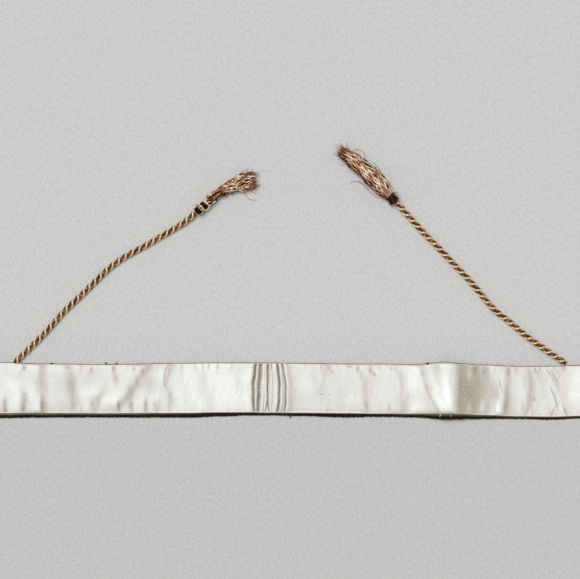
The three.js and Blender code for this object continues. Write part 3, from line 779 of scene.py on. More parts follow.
@dataclass(frozen=True)
class Satin:
    """Ivory silk satin: a warm body under a cool gloss that is sharp along the sash and soft across it."""

    body: Colour = (0.77, 0.712, 0.605)
    # The yellow-brown of the soiling, also used as painted shade on falling slopes and in hollows.
    soiled_and_shaded: Colour = (0.27, 0.175, 0.07)
    # The greyer brown of the painted shade in the pressed creases.
    pressed: Colour = (0.16, 0.135, 0.1)
    # The cream of the painted highlight along the turned edges.
    lip: Colour = (0.9, 0.79, 0.62)
    shine: Colour = (0.78, 0.9, 1.0)
    roughness: float = 0.5
    gloss: float = 1.0
    density: float = 2.0
    direction: float = 0.5

    def material(self, weave: bpy.types.NodeTree) -> bpy.types.Material:
        """Makes the material, which reads the lining's soiling with its painted shade and highlights, the
        painted shade of its pressed creases and the painted highlight on its turned edges.

        Args:
            weave: the shared weave group.

        Returns:
            The material.
        """
        material, graph, shader = new_material("ivory_satin")
        place = graph.node("ShaderNodeTexCoord").outputs["Object"]
        cloth = graph.node("ShaderNodeGroup", {"Vector": place}, node_tree=weave)
        patch = graph.between(cloth.outputs["Patch"], 0.35, 0.75, 0.08, 0.2)
        grain = graph.between(graph.noise(place, 800.0, 3.0), 0.3, 0.7, -0.08, 0.1)
        mottle = graph.between(graph.noise(place, 640.0, 3.0), 0.3, 0.7, 0.7, 1.3)
        mottled = graph.math("MULTIPLY", graph.mark("soil_and_shade"), mottle)
        share = graph.math("ADD", graph.math("ADD", patch, grain), mottled)
        # Soiled spots and painted shade take the yellow-brown; the painted shade of the pressed creases takes
        # the greyer brown.
        stain_and_shade = graph.blend(graph.mark("pressed"), opaque(self.soiled_and_shaded), opaque(self.pressed))
        colour = graph.blend(share, opaque(self.body), stain_and_shade)
        rough = graph.between(cloth.outputs["Patch"], 0.2, 0.8, self.roughness - 0.04, self.roughness + 0.06)
        dulled = graph.math("ADD", rough, graph.math("MULTIPLY", mottled, 0.5))
        woven = graph.math("MULTIPLY", cloth.outputs["Height"], 0.3)
        dimpled = graph.math("ADD", woven, graph.noise(place, 380.0, 3.0))
        tangent = graph.node("ShaderNodeTangent", direction_type="UV_MAP", uv_map="UVMap")
        inputs = {
            # The turned edges get a painted highlight in cream.
            "Base Color": graph.blend(graph.mark("turned"), colour, opaque(self.lip)),
            "Roughness": graph.between(dulled, 0.45, 1.0, 0.45, 1.0),
            "IOR": self.density,
            "Specular IOR Level": self.gloss,
            "Specular Tint": opaque(self.shine),
            "Anisotropic": self.direction,
            "Anisotropic Rotation": 0.25,
            "Tangent": tangent.outputs[0],
            "Normal": graph.bump(dimpled, 0.3, 0.0004),
        }
        graph.feed(shader, inputs)
        return material


@dataclass(frozen=True)
class OuterSilk:
    """Near-black brown silk with a plain weave, whose dark also paints the shade on the lower hem's outer
    side, and paler on top of the rolled hems, from rubbing and a painted highlight where they face the light.
    """

    # The near-black body colour also stands for the shade on the lower hem's outer side; the paler colour is
    # for the rolls' upward faces, painted light with some rubbing.
    body: Colour = (0.011, 0.0065, 0.004)
    worn_and_lit: Colour = (0.23, 0.175, 0.11)
    gloss: float = 0.12

    def material(self, weave: bpy.types.NodeTree) -> bpy.types.Material:
        """Makes the material from the shared weave group."""
        material, graph, shader = new_material("brown_silk")
        place = graph.node("ShaderNodeTexCoord").outputs["Object"]
        given = {"Vector": place, "Threads": 1200.0, "Patches": 60.0}
        cloth = graph.node("ShaderNodeGroup", given, node_tree=weave)
        woven = graph.between(cloth.outputs["Height"], 0.35, 0.65, -0.2, 0.14)
        # Paler on the rolls' upward faces: a painted highlight with some rubbing.
        share = graph.math("ADD", graph.mark("worn_and_lit"), woven)
        inputs = {
            "Base Color": graph.blend(share, opaque(self.body), opaque(self.worn_and_lit)),
            "Roughness": graph.between(cloth.outputs["Patch"], 0.2, 0.8, 0.55, 0.75),
            "Specular IOR Level": self.gloss,
            "Normal": graph.bump(cloth.outputs["Height"], 0.4, 0.0003),
        }
        graph.feed(shader, inputs)
        return material


@dataclass(frozen=True)
class SpunThread:
    """Spun thread: tone runs from the dark of the core to the bright of the wrapping."""

    name: str
    dark: Colour
    middle: Colour
    bright: Colour
    turns: float
    lay: float
    roughness: float
    metallic: float
    groove: float
    gloss: float = 0.06

    def material(self, twist: bpy.types.NodeTree) -> bpy.types.Material:
        """Makes the material, which reads each strand's tone mark.

        Args:
            twist: the shared spun-thread group.

        Returns:
            The material.
        """
        material, graph, shader = new_material(self.name)
        place = graph.node("ShaderNodeUVMap", uv_map="UVMap").outputs[0]
        given = {"UV": place, "Turns": self.turns, "Lay": self.lay}
        spun = graph.node("ShaderNodeGroup", given, node_tree=twist)
        ridge, fleck = spun.outputs
        tone = graph.mark("tone")
        lower = graph.blend(graph.between(tone, 0.0, 0.5, 0.0, 1.0), opaque(self.dark), opaque(self.middle))
        colour = graph.blend(graph.between(tone, 0.5, 1.0, 0.0, 1.0), lower, opaque(self.bright))
        groove = graph.between(ridge, 0.0, 1.0, self.groove, 0.0)
        groove = graph.math("MULTIPLY", groove, graph.between(tone, 0.3, 1.0, 1.0, 0.35))
        inputs = {
            "Base Color": graph.blend(groove, colour, opaque(self.dark)),
            "Roughness": graph.between(fleck, 0.3, 0.7, self.roughness - 0.08, self.roughness + 0.1),
            "Metallic": self.metallic,
            "Specular IOR Level": self.gloss,
            "Normal": graph.bump(ridge, 0.5, 0.0002),
        }
        graph.feed(shader, inputs)
        return material


@dataclass(frozen=True)
class PaleGround:
    """Pale grey paper with a faint grain, painted darker below the sash than beyond it: a painted fall-off of
    the light.
    """

    near: Colour = (0.664, 0.66, 0.648)
    far: Colour = (0.716, 0.712, 0.698)
    grain: float = 0.09

    def material(self) -> bpy.types.Material:
        """Makes the ground's material."""
        material, graph, shader = new_material("pale_ground")
        place = graph.node("ShaderNodeTexCoord").outputs["Object"]
        across = graph.node("ShaderNodeSeparateXYZ", {0: place}).outputs[1]
        # Painted light: the ground is darker below the sash than beyond its upper edge.
        away = graph.between(across, -0.03, 0.06, 0.0, 1.0)
        ground = graph.blend(away, opaque(self.near), opaque(self.far))
        fibres = graph.noise(graph.stretched(place, (1.0, 0.55, 1.0)), 480.0, 3.0)
        mixed = graph.math("ADD", graph.noise(place, 620.0, 3.0), fibres)
        grain = graph.between(mixed, 0.7, 1.3, 0.0, 2 * self.grain)
        inputs = {"Roughness": 0.9, "Specular IOR Level": 0.2}
        inputs["Base Color"] = graph.blend(grain, ground, opaque((0.0, 0.0, 0.0)))
        graph.feed(shader, inputs)
        return material


GOLD_CORD = SpunThread(
    "gold_cord", (0.065, 0.02, 0.003), (0.44, 0.2, 0.07), (1.0, 0.75, 0.5), 3.0, 2.2, 0.4, 0.35, 0.6
)
COPPER_TASSEL = SpunThread(
    "copper_tassel", (0.03, 0.005, 0.0007), (0.45, 0.19, 0.095), (1.0, 0.77, 0.57), 1.0, 9.0, 0.32, 0.4, 0.4
)
BOUND_THREAD = SpunThread(
    "bound_thread", (0.035, 0.007, 0.003), (0.38, 0.17, 0.1), (1.0, 0.82, 0.67), 2.0, 1.6, 0.36, 0.35, 0.6
)
SEWING_THREAD = SpunThread(
    "sewing_thread", (0.012, 0.01, 0.008), (0.3, 0.24, 0.16), (0.8, 0.73, 0.6), 2.0, 1.0, 0.6, 0.0, 0.6
)


@dataclass
class Palette:
    """Every finish on the sash, made once."""

    satin: bpy.types.Material = field(init=False)
    outer: bpy.types.Material = field(init=False)
    cord: bpy.types.Material = field(init=False)
    tassel: bpy.types.Material = field(init=False)
    binding: bpy.types.Material = field(init=False)
    sewing: bpy.types.Material = field(init=False)

    def __post_init__(self) -> None:
        """Makes the shared groups and the materials."""
        weave, twist = weave_group(), twist_group()
        self.satin = Satin().material(weave)
        self.outer = OuterSilk().material(weave)
        self.cord = GOLD_CORD.material(twist)
        self.tassel = COPPER_TASSEL.material(twist)
        self.binding = BOUND_THREAD.material(twist)
        self.sewing = SEWING_THREAD.material(twist)


def dress(piece: bpy.types.Object, material: bpy.types.Material, slot: Slot, *nodes: str) -> bpy.types.Object:
    """Gives a finished piece its material and its place on the body, and hides the solids that it replaces.

    Args:
        piece: the finished piece.
        material: its finish.
        slot: the record's slot for it; not used.
        nodes: the solids that it stands for.

    Returns:
        The piece.
    """
    piece.data.materials.append(material)
    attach(piece, "root")
    if nodes:
        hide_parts(*nodes)
    log.info("%s: %d points, %d faces", piece.name, len(piece.data.vertices), len(piece.data.polygons))
    return piece


# The sash


@dataclass
class Sash:
    """The lie of the whole sash: its outline on the surface and where it lifts off it."""

    length: float = 760
    width: float = 53.5
    corner: float = 2.5

    def edges(self, x: Array) -> tuple[Array, Array, Array]:
        """Gives the two edges along the sash: half the width to each side, plus how far each edge strays.

        Args:
            x: places along the sash.

        Returns:
            The lower and the upper edge's Y, and the lower hem's width.
        """
        rows = Lie(*np.array(LIES).T)
        past = np.maximum(0, np.abs(x) - (self.length / 2 - self.corner))
        drawn_in = self.corner - np.sqrt(np.maximum(0, self.corner**2 - past**2))
        half = self.width / 2 - drawn_in
        upper, lower, hem = (eased(x, rows.at, values) for values in (rows.upper, rows.lower, rows.hem))
        return lower - half, upper + half, hem

    def wear_and_light(self, x: Array) -> Array:
        """Gives how pale the lower hem's roll is along the sash, from rubbing and painted light."""
        rows = Lie(*np.array(LIES).T)
        return eased(x, rows.at, rows.wear_and_light)

    def lift(self, x: Array) -> Array:
        """Gives the underside's height: each arch adds height * (1 + cos(pi * t)) / 2 over its run."""
        total = np.zeros_like(x)
        for arch in ARCHES:
            share = (x - arch.at) / np.where(x < arch.at, arch.rise, arch.fall)
            total += np.where(np.abs(share) < 1, arch.height * (1 + np.cos(np.pi * share)) / 2, 0)
        return total


@dataclass
class OuterCloth:
    """The outer cloth, face down, with its edges rolled up and over into a narrow hem."""

    sash: Sash
    wall: float = 1.2
    hem_height: float = 2.3
    hem_above: float = 0.46
    hem_ends: float = 2.0
    step: float = 1.6

    def roll(self, edge: Array, inward: Array, rows: Outline) -> tuple[Array, Array, Array]:
        """Places a hem's outline: each row is the share of its width in from the edge, its height and its
        paleness, from rubbing and painted light.

        Args:
            edge: the hem's outer edge for each section.
            inward: the hem's width for each section, below zero where the sash lies at lower Y than the edge.
            rows: the outline from the foot to the inner lip.

        Returns:
            Y, Z and paleness by section and point.
        """
        across, up, wear_and_light = np.array(rows).T
        y = edge[:, None] + inward[:, None] * across
        return y, np.broadcast_to(up, y.shape), np.broadcast_to(wear_and_light, y.shape)

    def shape(self) -> Shape:
        """Carries the hemmed section along the sash.

        Returns:
            The shape, with the paleness of its rolls, from rubbing and painted light.
        """
        end = self.sash.length / 2
        rim = end - self.hem_ends
        inner = np.linspace(-rim + 0.4, rim - 0.4, int(2 * rim / self.step))
        turned = np.array([0.0, 0.25, 0.6, 1.1, 1.6, self.hem_ends])
        x = np.concatenate([-end + turned, inner, (end - turned)[::-1]])
        lower, upper, hem = self.sash.edges(x)
        fray = 0.3 * waves(x, (9, 14, 31), SEED + 1)
        above = np.full_like(x, -self.hem_above)
        bed = np.where(np.abs(x) > rim - 0.2, 0.85 * self.hem_height, self.wall)
        low_y, low_z, low_wear_and_light = self.roll(lower + fray, hem - fray, LOWER_HEM)
        ripple = 0.15 * waves(x, (8, 15, 27), SEED + 2)
        high_y, high_z, high_wear_and_light = self.roll(upper + ripple, above, UPPER_HEM)
        share = np.linspace(0.04, 0.96, 12)
        bed_y = low_y[:, -1:] + (high_y[:, -1:] - low_y[:, -1:]) * share
        bed_z = np.broadcast_to(bed[:, None], bed_y.shape)
        foot_y = low_y[:, :1] + (high_y[:, :1] - low_y[:, :1]) * share
        plain = np.zeros_like(foot_y)
        y = np.concatenate([foot_y, high_y, bed_y[:, ::-1], low_y[:, ::-1]], axis=1)
        z = np.concatenate([plain, high_z, bed_z, low_z[:, ::-1]], axis=1)
        squeezed = np.interp(np.abs(x), [end - 1.1, end], [1.0, 0.55])
        z = z * squeezed[:, None] + self.sash.lift(x)[:, None]
        made = tubes(np.stack([np.broadcast_to(x[:, None], y.shape), y, z], axis=-1)[None], x[None])
        # The rolls' upward faces are painted paler than their shaded lower sides, more so where the lower
        # hem's rows say.
        low_wear_and_light = low_wear_and_light * self.sash.wear_and_light(x)[:, None]
        made.marks["worn_and_lit"] = np.concatenate([plain, high_wear_and_light, plain, low_wear_and_light[:, ::-1]], axis=1).ravel()
        return made

    def build(self, palette: Palette) -> bpy.types.Object:
        """Makes and dresses the outer cloth."""
        piece = dress(self.shape().build("outer_cloth_sewn"), palette.outer, Slot.OUTER, "outer_cloth")
        return piece


@dataclass
class Lining:
    """The satin lining, laid in the hem, with its folds, creases and puckers."""

    sash: Sash
    outer: OuterCloth
    wall: float = 1.0
    edge_wall: float = 0.7
    gap: float = 0.3
    tuck: float = 0.06
    end_gap: float = 0.7
    step: float = 0.85
    crease_step: float = 0.42
    crease_from: float = -46
    crease_to: float = 4
    columns: int = 58
    lip: float = 0.3
    lip_at: float = 0.975
    lip_reach: float = 0.018
    # Where the painted highlight on the turned edges sits across the lining, and how wide it is.
    highlight_at: float = 0.985
    highlight_reach: float = 0.03
    soft: float = 1.75
    slack: float = 0.24
    deepest: float = 0.55
    fade: float = 0.3
    ripple: float = 0.07
    calm_at: float = -21
    calm_reach: float = 22

    def stations(self) -> Array:
        """Gives the places of the sections, closer together over the pressed creases."""
        end = self.sash.length / 2 - self.outer.hem_ends - self.end_gap
        stretches = (
            (-end, self.crease_from, self.step),
            (self.crease_from, self.crease_to, self.crease_step),
            (self.crease_to, end, self.step),
        )
        places = [np.linspace(a, b, int((b - a) / s), endpoint=False) for a, b, s in stretches]
        return np.concatenate([*places, [end]])

    def drift(self, x: Array, across: Array) -> tuple[Array, Array]:
        """Shifts places along the sash by slow waves, less so at the pressed creases, which keep straighter.

        Args:
            x: places along the sash.
            across: places across it, from -1 at the lower edge to 1 at the upper edge.

        Returns:
            How near places are to the pressed creases, from 0 to 1, and the shifted places.
        """
        calm = bell(x - self.calm_at, self.calm_reach)
        return calm, x + (1.1 - 0.8 * calm) * waves(across * 24 + 0.35 * x, (17, 29, 41), SEED + 3)

    def relief(self, x: Array, across: Array) -> Array:
        """Adds up the folds, creases, puckers and fine ripples.

        A fold is height * exp(-t^2), where t is the distance from its crest over the flank's width, and its
        crest is a curve through its upper, middle and lower place. A crease is the same, downwards. A pucker
        is a short narrow ridge at an edge.

        Args:
            x: places along the sash.
            across: places across it, from -1 at the lower edge to 1 at the upper edge.

        Returns:
            The height over the plain lining.
        """
        calm, shifted = self.drift(x, across)
        soft = self.soft + (1 - self.soft) * calm
        total = np.zeros_like(x)
        for fold in FOLDS:
            away, stretch = self.from_line(fold, shifted, across, self.fade)
            flank = soft * np.where(away < 0, fold.rise, fold.fall)
            uneven = 1 + 0.25 * waves(across * 24 + fold.middle, (47, 83), SEED + 12)
            total += fold.height * uneven * bell(away, flank) * stretch
        for crease in CREASES:
            away, stretch = self.from_line(crease, shifted, across)
            total -= crease.depth * bell(away, crease.width) * stretch
        for edge, puckers in PUCKERS.items():
            inward = 1 - across * edge.value
            for pucker in puckers:
                total += pucker.height * bell(shifted - pucker.at, pucker.width) * bell(inward, pucker.reach)
        fine = waves(x * 0.8 + across * 9, (5.3, 7.9, 12.7), SEED + 4)
        fine = fine * waves(across * 21 - x * 0.3, (9, 16), SEED + 5)
        slow = waves(x + 7 * across, (19, 27, 43), SEED + 9)
        slow = slow * (1 + 0.5 * waves(across * 30 - x, (31, 57), SEED + 10))
        return np.maximum(total + self.ripple * fine + self.slack * (1 - calm) * slow, -self.deepest)

    def from_line(
        self, line: Fold | Crease, x: Array, across: Array, fade: float = 0.18
    ) -> tuple[Array, Array]:
        """Tells how far places lie from a fold's or crease's line, a curve through its three places.

        Args:
            line: the fold or crease.
            x: places along the sash.
            across: places across it.
            fade: how far to each side of its ends it eases out.

        Returns:
            The distance to the right of the line, and 1 along the line's stretch, easing to 0 past its ends.
        """
        lean = (line.upper - line.lower) / 2
        bow = (line.upper + line.lower) / 2 - line.middle
        begun = ramp(line.low - fade, line.low + fade, across)
        ended = ramp(-line.high - fade, fade - line.high, -across)
        return x - (line.middle + lean * across + bow * across**2), begun * ended

    def soil_and_shade(self, x: Array, across: Array, height: Array) -> Array:
        """Marks where the satin is darkened and yellowed: painted shade on falling slopes and in hollows and
        a painted highlight on crests, all stronger near the edges, blotches near the edges, and the listed
        spots.

        Args:
            x: places along the sash.
            across: places across it.
            height: the relief there.

        Returns:
            The share of soiling and painted shade, below zero where a highlight is painted.
        """
        run = np.gradient(x, axis=0)
        slope = np.gradient(height, axis=0) / run
        bend = np.gradient(slope, axis=0) / run
        # Painted shade on slopes that fall away from the light and in hollows, and a painted highlight on
        # crests.
        slope_shade = np.clip(-slope, 0, 0.8) + np.clip(0.5 * bend, 0, 0.6) - np.clip(-0.3 * bend, 0, 0.3)
        edge = np.abs(across) ** 3
        blotch = waves(x + 11 * across, (23, 37, 61), SEED + 6) * waves(across * 30 + x, (19, 47), SEED + 7)
        total = slope_shade * (0.32 + 0.4 * edge) + 0.2 * np.clip(blotch, 0, 1) * edge + 0.08 * edge**3
        lower, upper = self.edges(x)
        y = lower + (upper - lower) * (across + 1) / 2
        stain_and_shade_spots = np.array(STAIN_SHADE_AND_HIGHLIGHT_PIXELS)
        for at_x, at_y, (width, reach, strength) in zip(*from_photo(stain_and_shade_spots), stain_and_shade_spots[:, 2:]):
            total += strength * bell(x - at_x, width) * bell(y - at_y, reach)
        return np.clip(total, -0.5, 1)

    def pressed(self, x: Array, across: Array) -> Array:
        """Paints shade into the pressed creases: the crease's darkening * exp(-t^2), where t is the distance
        from the line over its width.

        Args:
            x: places along the sash.
            across: places across it.

        Returns:
            The share of painted shade in the creases.
        """
        total = np.zeros_like(x)
        _, shifted = self.drift(x, across)
        for crease in CREASES:
            away, stretch = self.from_line(crease, shifted, across)
            uneven = 1 + 0.4 * waves(across * 24 + 3 * crease.middle, (11, 19, 37), SEED + 13)
            total += crease.soil_and_shade * uneven * bell(away, crease.width) * stretch
        return np.clip(total, 0, 1)

    def edges(self, x: Array) -> tuple[Array, Array]:
        """Gives the lining's own lower and upper edge, tucked against the hems."""
        lower, upper, hem = self.sash.edges(x)
        return lower + hem + self.tuck, upper - self.outer.hem_above - self.tuck

    def bed(self, x: Array) -> Array:
        """Gives the height that the lining lies on."""
        return self.sash.lift(x) + self.outer.wall + self.gap

    def top(self, x: Array, across: Array, folds: Array) -> Array:
        """Adds the lining's thickness, its lip at the lower hem and its folds to the height that it lies on.

        Args:
            x: places along the sash.
            across: places across it.
            folds: the relief there.

        Returns:
            The height of the satin face.
        """
        held = 1 - np.abs(across) ** 26
        crown = self.edge_wall + (self.wall - self.edge_wall) * (1 - np.abs(across) ** 10)
        lip = self.lip * bell(across + self.lip_at, self.lip_reach)
        tucked = ramp(0, 2.5, self.sash.length / 2 - self.outer.hem_ends - self.end_gap - np.abs(x))
        return self.bed(x) + (crown + lip + folds * held) * (0.5 + 0.5 * tucked)

    def face(self, x: Array, y: Array) -> Array:
        """Gives the height of the satin face at places on it."""
        lower, upper = self.edges(x)
        across = np.clip(2 * (y - lower) / (upper - lower) - 1, -1, 1)
        return self.top(x, across, self.relief(x, across))

    def shape(self) -> Shape:
        """Carries the section along the sash: the folded top from edge to edge, and a plain underside.

        Returns:
            The shape, with its soiling and its painted shade and highlights, the painted shade of its pressed
            creases and the painted highlight on its turned edges.
        """
        x = self.stations()
        lower, upper = self.edges(x)
        quarter = np.pi / 2 * 0.9
        across = np.sin(np.linspace(1, -1, self.columns) * quarter) / np.sin(quarter)
        along = np.broadcast_to(x[:, None], (len(x), self.columns))
        over = np.broadcast_to(across[None], along.shape)
        folds = self.relief(along, over)
        top = self.top(along, over, folds)
        y = lower[:, None] + (upper - lower)[:, None] * (over + 1) / 2
        under = np.linspace(0.02, 0.98, 8)
        under_y = lower[:, None] + (upper - lower)[:, None] * under
        rings = np.stack(
            [
                np.broadcast_to(x[:, None], (len(x), self.columns + len(under))),
                np.concatenate([under_y, y], axis=1),
                np.concatenate([np.broadcast_to(self.bed(x)[:, None], under_y.shape), top], axis=1),
            ],
            axis=-1,
        )
        made = tubes(rings[None], x[None])
        # Painted shade along the pressed creases, also added to the soiling mark.
        pressed = self.pressed(along, over)
        # A painted highlight along both turned edges, stronger at the lower one.
        turned = 0.85 * bell(over + self.highlight_at, self.highlight_reach)
        turned = turned + 0.3 * bell(over - self.highlight_at, self.highlight_reach)
        marks = {"soil_and_shade": self.soil_and_shade(along, over, folds) + pressed, "pressed": pressed, "turned": turned}
        for key, values in marks.items():
            made.marks[key] = np.concatenate([np.zeros_like(under_y), values], axis=1).ravel()
        made.uv[:, 1] *= self.sash.width
        return made

    def build(self, palette: Palette) -> bpy.types.Object:
        """Makes and dresses the lining."""
        piece = dress(self.shape().build("lining_sewn"), palette.satin, Slot.LINING, "lining")
        return piece


@dataclass
class Sewing:
    """The stitches that fell the lining to its hems, the loose thread along them and the nap of the hem."""

    lining: Lining
    spacing: float = 4.3
    thread: float = 0.17
    points: int = 7
    fibres: int = 2400
    tuft: float = 0.27
    slub: float = 0.15
    slub_tone: float = 0.35

    def stitches(self, edge: Edge) -> Shape:
        """Sews one long edge: each stitch is a low arch from the satin over the hem, leaning along the sash.

        Args:
            edge: the edge to sew.

        Returns:
            The stitches, with their tone.
        """
        draw = np.random.default_rng(SEED + 30 + edge.value)
        end = self.lining.sash.length / 2 - 6
        x = np.arange(-end, end, self.spacing)
        x = (x + draw.uniform(-0.6, 0.6, len(x)))[:, None]
        share = np.linspace(0, 1, self.points)[None]
        lower, upper = self.lining.edges(x)
        seam = lower if edge is Edge.LOWER else upper
        y = seam + edge.value * (1.3 * share - 0.8)
        along = x + 0.9 * share + 0 * y
        flat = self.lining.face(x, seam) * (1 - share) + (self.lining.sash.lift(x) + 2.3) * share
        paths = np.stack([along, y, flat + 0.25 * np.sin(np.pi * share) - 0.05], axis=-1)
        tone = np.broadcast_to(draw.uniform(0.55, 0.95, (len(x), 1)), along.shape)
        return round_tubes(paths, np.full(along.shape, self.thread), 5, {"tone": tone})

    def ends(self) -> Shape:
        """Lays the thread ends along the edges and the slubs in the weave where the photograph shows them.

        Returns:
            The shape, with its tone.
        """
        draw = np.random.default_rng(SEED + 33)
        tufts = np.repeat(np.array(THREAD_END_PIXELS), 4, axis=0)
        dyed, tufts = tufts[:, 2], tufts[:, :2]
        reach = draw.uniform(-1.3, 1.3, (len(tufts), 2))
        bent = np.stack([tufts - reach, tufts + draw.uniform(-0.5, 0.5, reach.shape), tufts + reach], axis=1)
        pixels = np.concatenate([bent, np.array(SLUB_PIXELS)])
        x, y = from_photo(pixels)
        loose = (np.arange(len(pixels)) < len(tufts))[:, None]
        height = self.lining.face(x, y) + np.where(loose, 0.4, 0.1)
        radius = np.broadcast_to(np.where(loose, self.tuft, self.slub), x.shape)
        dyed = np.concatenate([dyed, np.full(len(SLUB_PIXELS), self.slub_tone)])
        tone = np.broadcast_to(dyed[:, None], x.shape)
        return round_tubes(np.stack([x, y, height], axis=-1), radius, 5, {"tone": tone})

    def nap(self) -> Shape:
        """Raises short dark fibres from the lower hem's face, out over the surface.

        Returns:
            The shape, with its tone.
        """
        draw = np.random.default_rng(SEED + 34)
        end = self.lining.sash.length / 2 - 2
        x = draw.uniform(-end, end, self.fibres)
        lower, _, _ = self.lining.sash.edges(x)
        foot = self.lining.sash.lift(x) + draw.uniform(0.3, 1.3, self.fibres)
        lean, reach = draw.uniform(-1.1, 1.1, self.fibres), draw.uniform(0.5, 1.4, self.fibres)
        # The fibres run longer under the first arch, where their dark also paints the shadow under the lifted
        # hem.
        reach = reach * (1 + 0.9 * bell(x - ARCHES[0].at, 22))
        share = np.array([-0.6, 0.3, 1.0])
        heading = np.stack([np.sin(lean), -np.cos(lean), np.full_like(lean, -0.15)], axis=-1)
        out = (reach[:, None] * share)[..., None] * heading[:, None]
        paths = np.stack([x, lower + 0.1, foot], axis=-1)[:, None] + out
        radius = np.broadcast_to(np.array([0.1, 0.08, 0.03]), paths.shape[:2])
        return round_tubes(paths, radius, 3, {"tone": np.zeros(paths.shape[:2])})

    def build(self, palette: Palette) -> bpy.types.Object:
        """Makes and dresses the sewing."""
        seams = self.stitches(Edge.LOWER).joined(self.stitches(Edge.UPPER))
        whole = seams.joined(self.ends()).joined(self.nap())
        return dress(whole.build("sewing_thread"), palette.sewing, Slot.LINING)


# The ties


@dataclass
class Cord:
    """A twisted cord: two dark plies of four threads each, and a smooth gold ply in each groove between."""

    side: Side
    diameter: float = 6.0
    pitch: float = 15.8
    step: float = 0.5
    gold: float = 0.95
    dark: float = 1.4
    thread: float = 0.6
    thread_pitch: float = 4.6
    head_axis: float = HEAD_AXIS
    rise: float = 26
    pinch: float = 6.0
    linger: float = 0.27
    thread_tones: tuple[float, ...] = (0.03, 0.25, 0.08, 0.55)
    gold_tone: float = 1.0

    def path(self) -> Array:
        """Gives the cord's middle line: flat on the surface, then up to the middle of its tassel's head.

        Returns:
            Points from the seam to the tassel.
        """
        flat = np.array(CORD_ROUTES[self.side])
        left = np.linalg.norm(flat - flat[-1], axis=1)
        rest = self.diameter / 2 + 0.05
        height = self.head_axis + (rest - self.head_axis) * ramp(0, self.rise, left)
        return smooth_path(np.column_stack([flat, height]), self.step)

    def wound(self, path: Array, start: float, radius: float, pitch: float, linger: float = 0.0) -> Array:
        """Winds a line round another: centre + radius * (cos b * side + sin b * up).

        The angle b is a - linger * sin(2 a), where a = start + turn * along / pitch.

        Args:
            path: the line to wind round.
            start: the angle at the seam.
            radius: the distance from the line.
            pitch: the length of a whole turn, below zero for a left-handed one.
            linger: how much it keeps to the two sides and hurries over the top and underneath.

        Returns:
            The wound line.
        """
        even = start + TURN * self.step * np.arange(len(path)) / pitch
        angle = even - linger * np.sin(2 * even)
        _, side, up = frames(path)
        return path + radius * (np.cos(angle)[:, None] * side + np.sin(angle)[:, None] * up)

    def shape(self) -> Shape:
        """Winds the plies left-handed round the route, and the dark plies' threads the other way round them.

        Returns:
            The plies as one shape, with their tone, pressed flat and low where they enter the seam.
        """
        path = self.path()
        along = self.step * np.arange(len(path))
        half = self.diameter / 2
        gold = np.stack(
            [self.wound(path, a, half - self.gold, -self.pitch, self.linger) for a in (0.0, np.pi)]
        )
        threads = []
        for ply in (0.25, 0.75):
            middle = self.wound(path, ply * TURN, half - self.dark, -self.pitch)
            turns = np.arange(len(self.thread_tones)) / len(self.thread_tones)
            reach = self.dark - self.thread
            threads += [self.wound(middle, t * TURN, reach, self.thread_pitch) for t in turns]
        uneven = 0.6 * waves(along, (17, 29, 41), SEED + 8)
        tones = np.tile(self.thread_tones, 2)[:, None] * (1 + uneven)
        bright = np.full(gold.shape[:2], self.gold_tone)
        smooth = round_tubes(gold, np.full(gold.shape[:2], self.gold), 10, {"tone": bright})
        spun = np.stack(threads)
        made = smooth.joined(round_tubes(spun, np.full(spun.shape[:2], self.thread), 6, {"tone": tones}))
        near = 1 - ramp(0, self.pinch, np.linalg.norm(made.points - path[0], axis=1))
        made.points[:, 2] = made.points[:, 2] * (1 - 0.45 * near) + 0.1 * near
        return made

    def build(self, palette: Palette) -> bpy.types.Object:
        """Makes and dresses the cord, which its tassel finishes."""
        name = self.side.value
        return dress(self.shape().build(f"twisted_cord_{name}"), palette.cord, Slot.CORD, f"cord_{name}")

    def declare(self, piece: bpy.types.Object, on_it: list[bpy.types.Object]) -> None:
        """Does nothing: the cord's real length and what is on it are not stated.

        Args:
            piece: the cord; not used.
            on_it: the pieces at its far end; not used.
        """


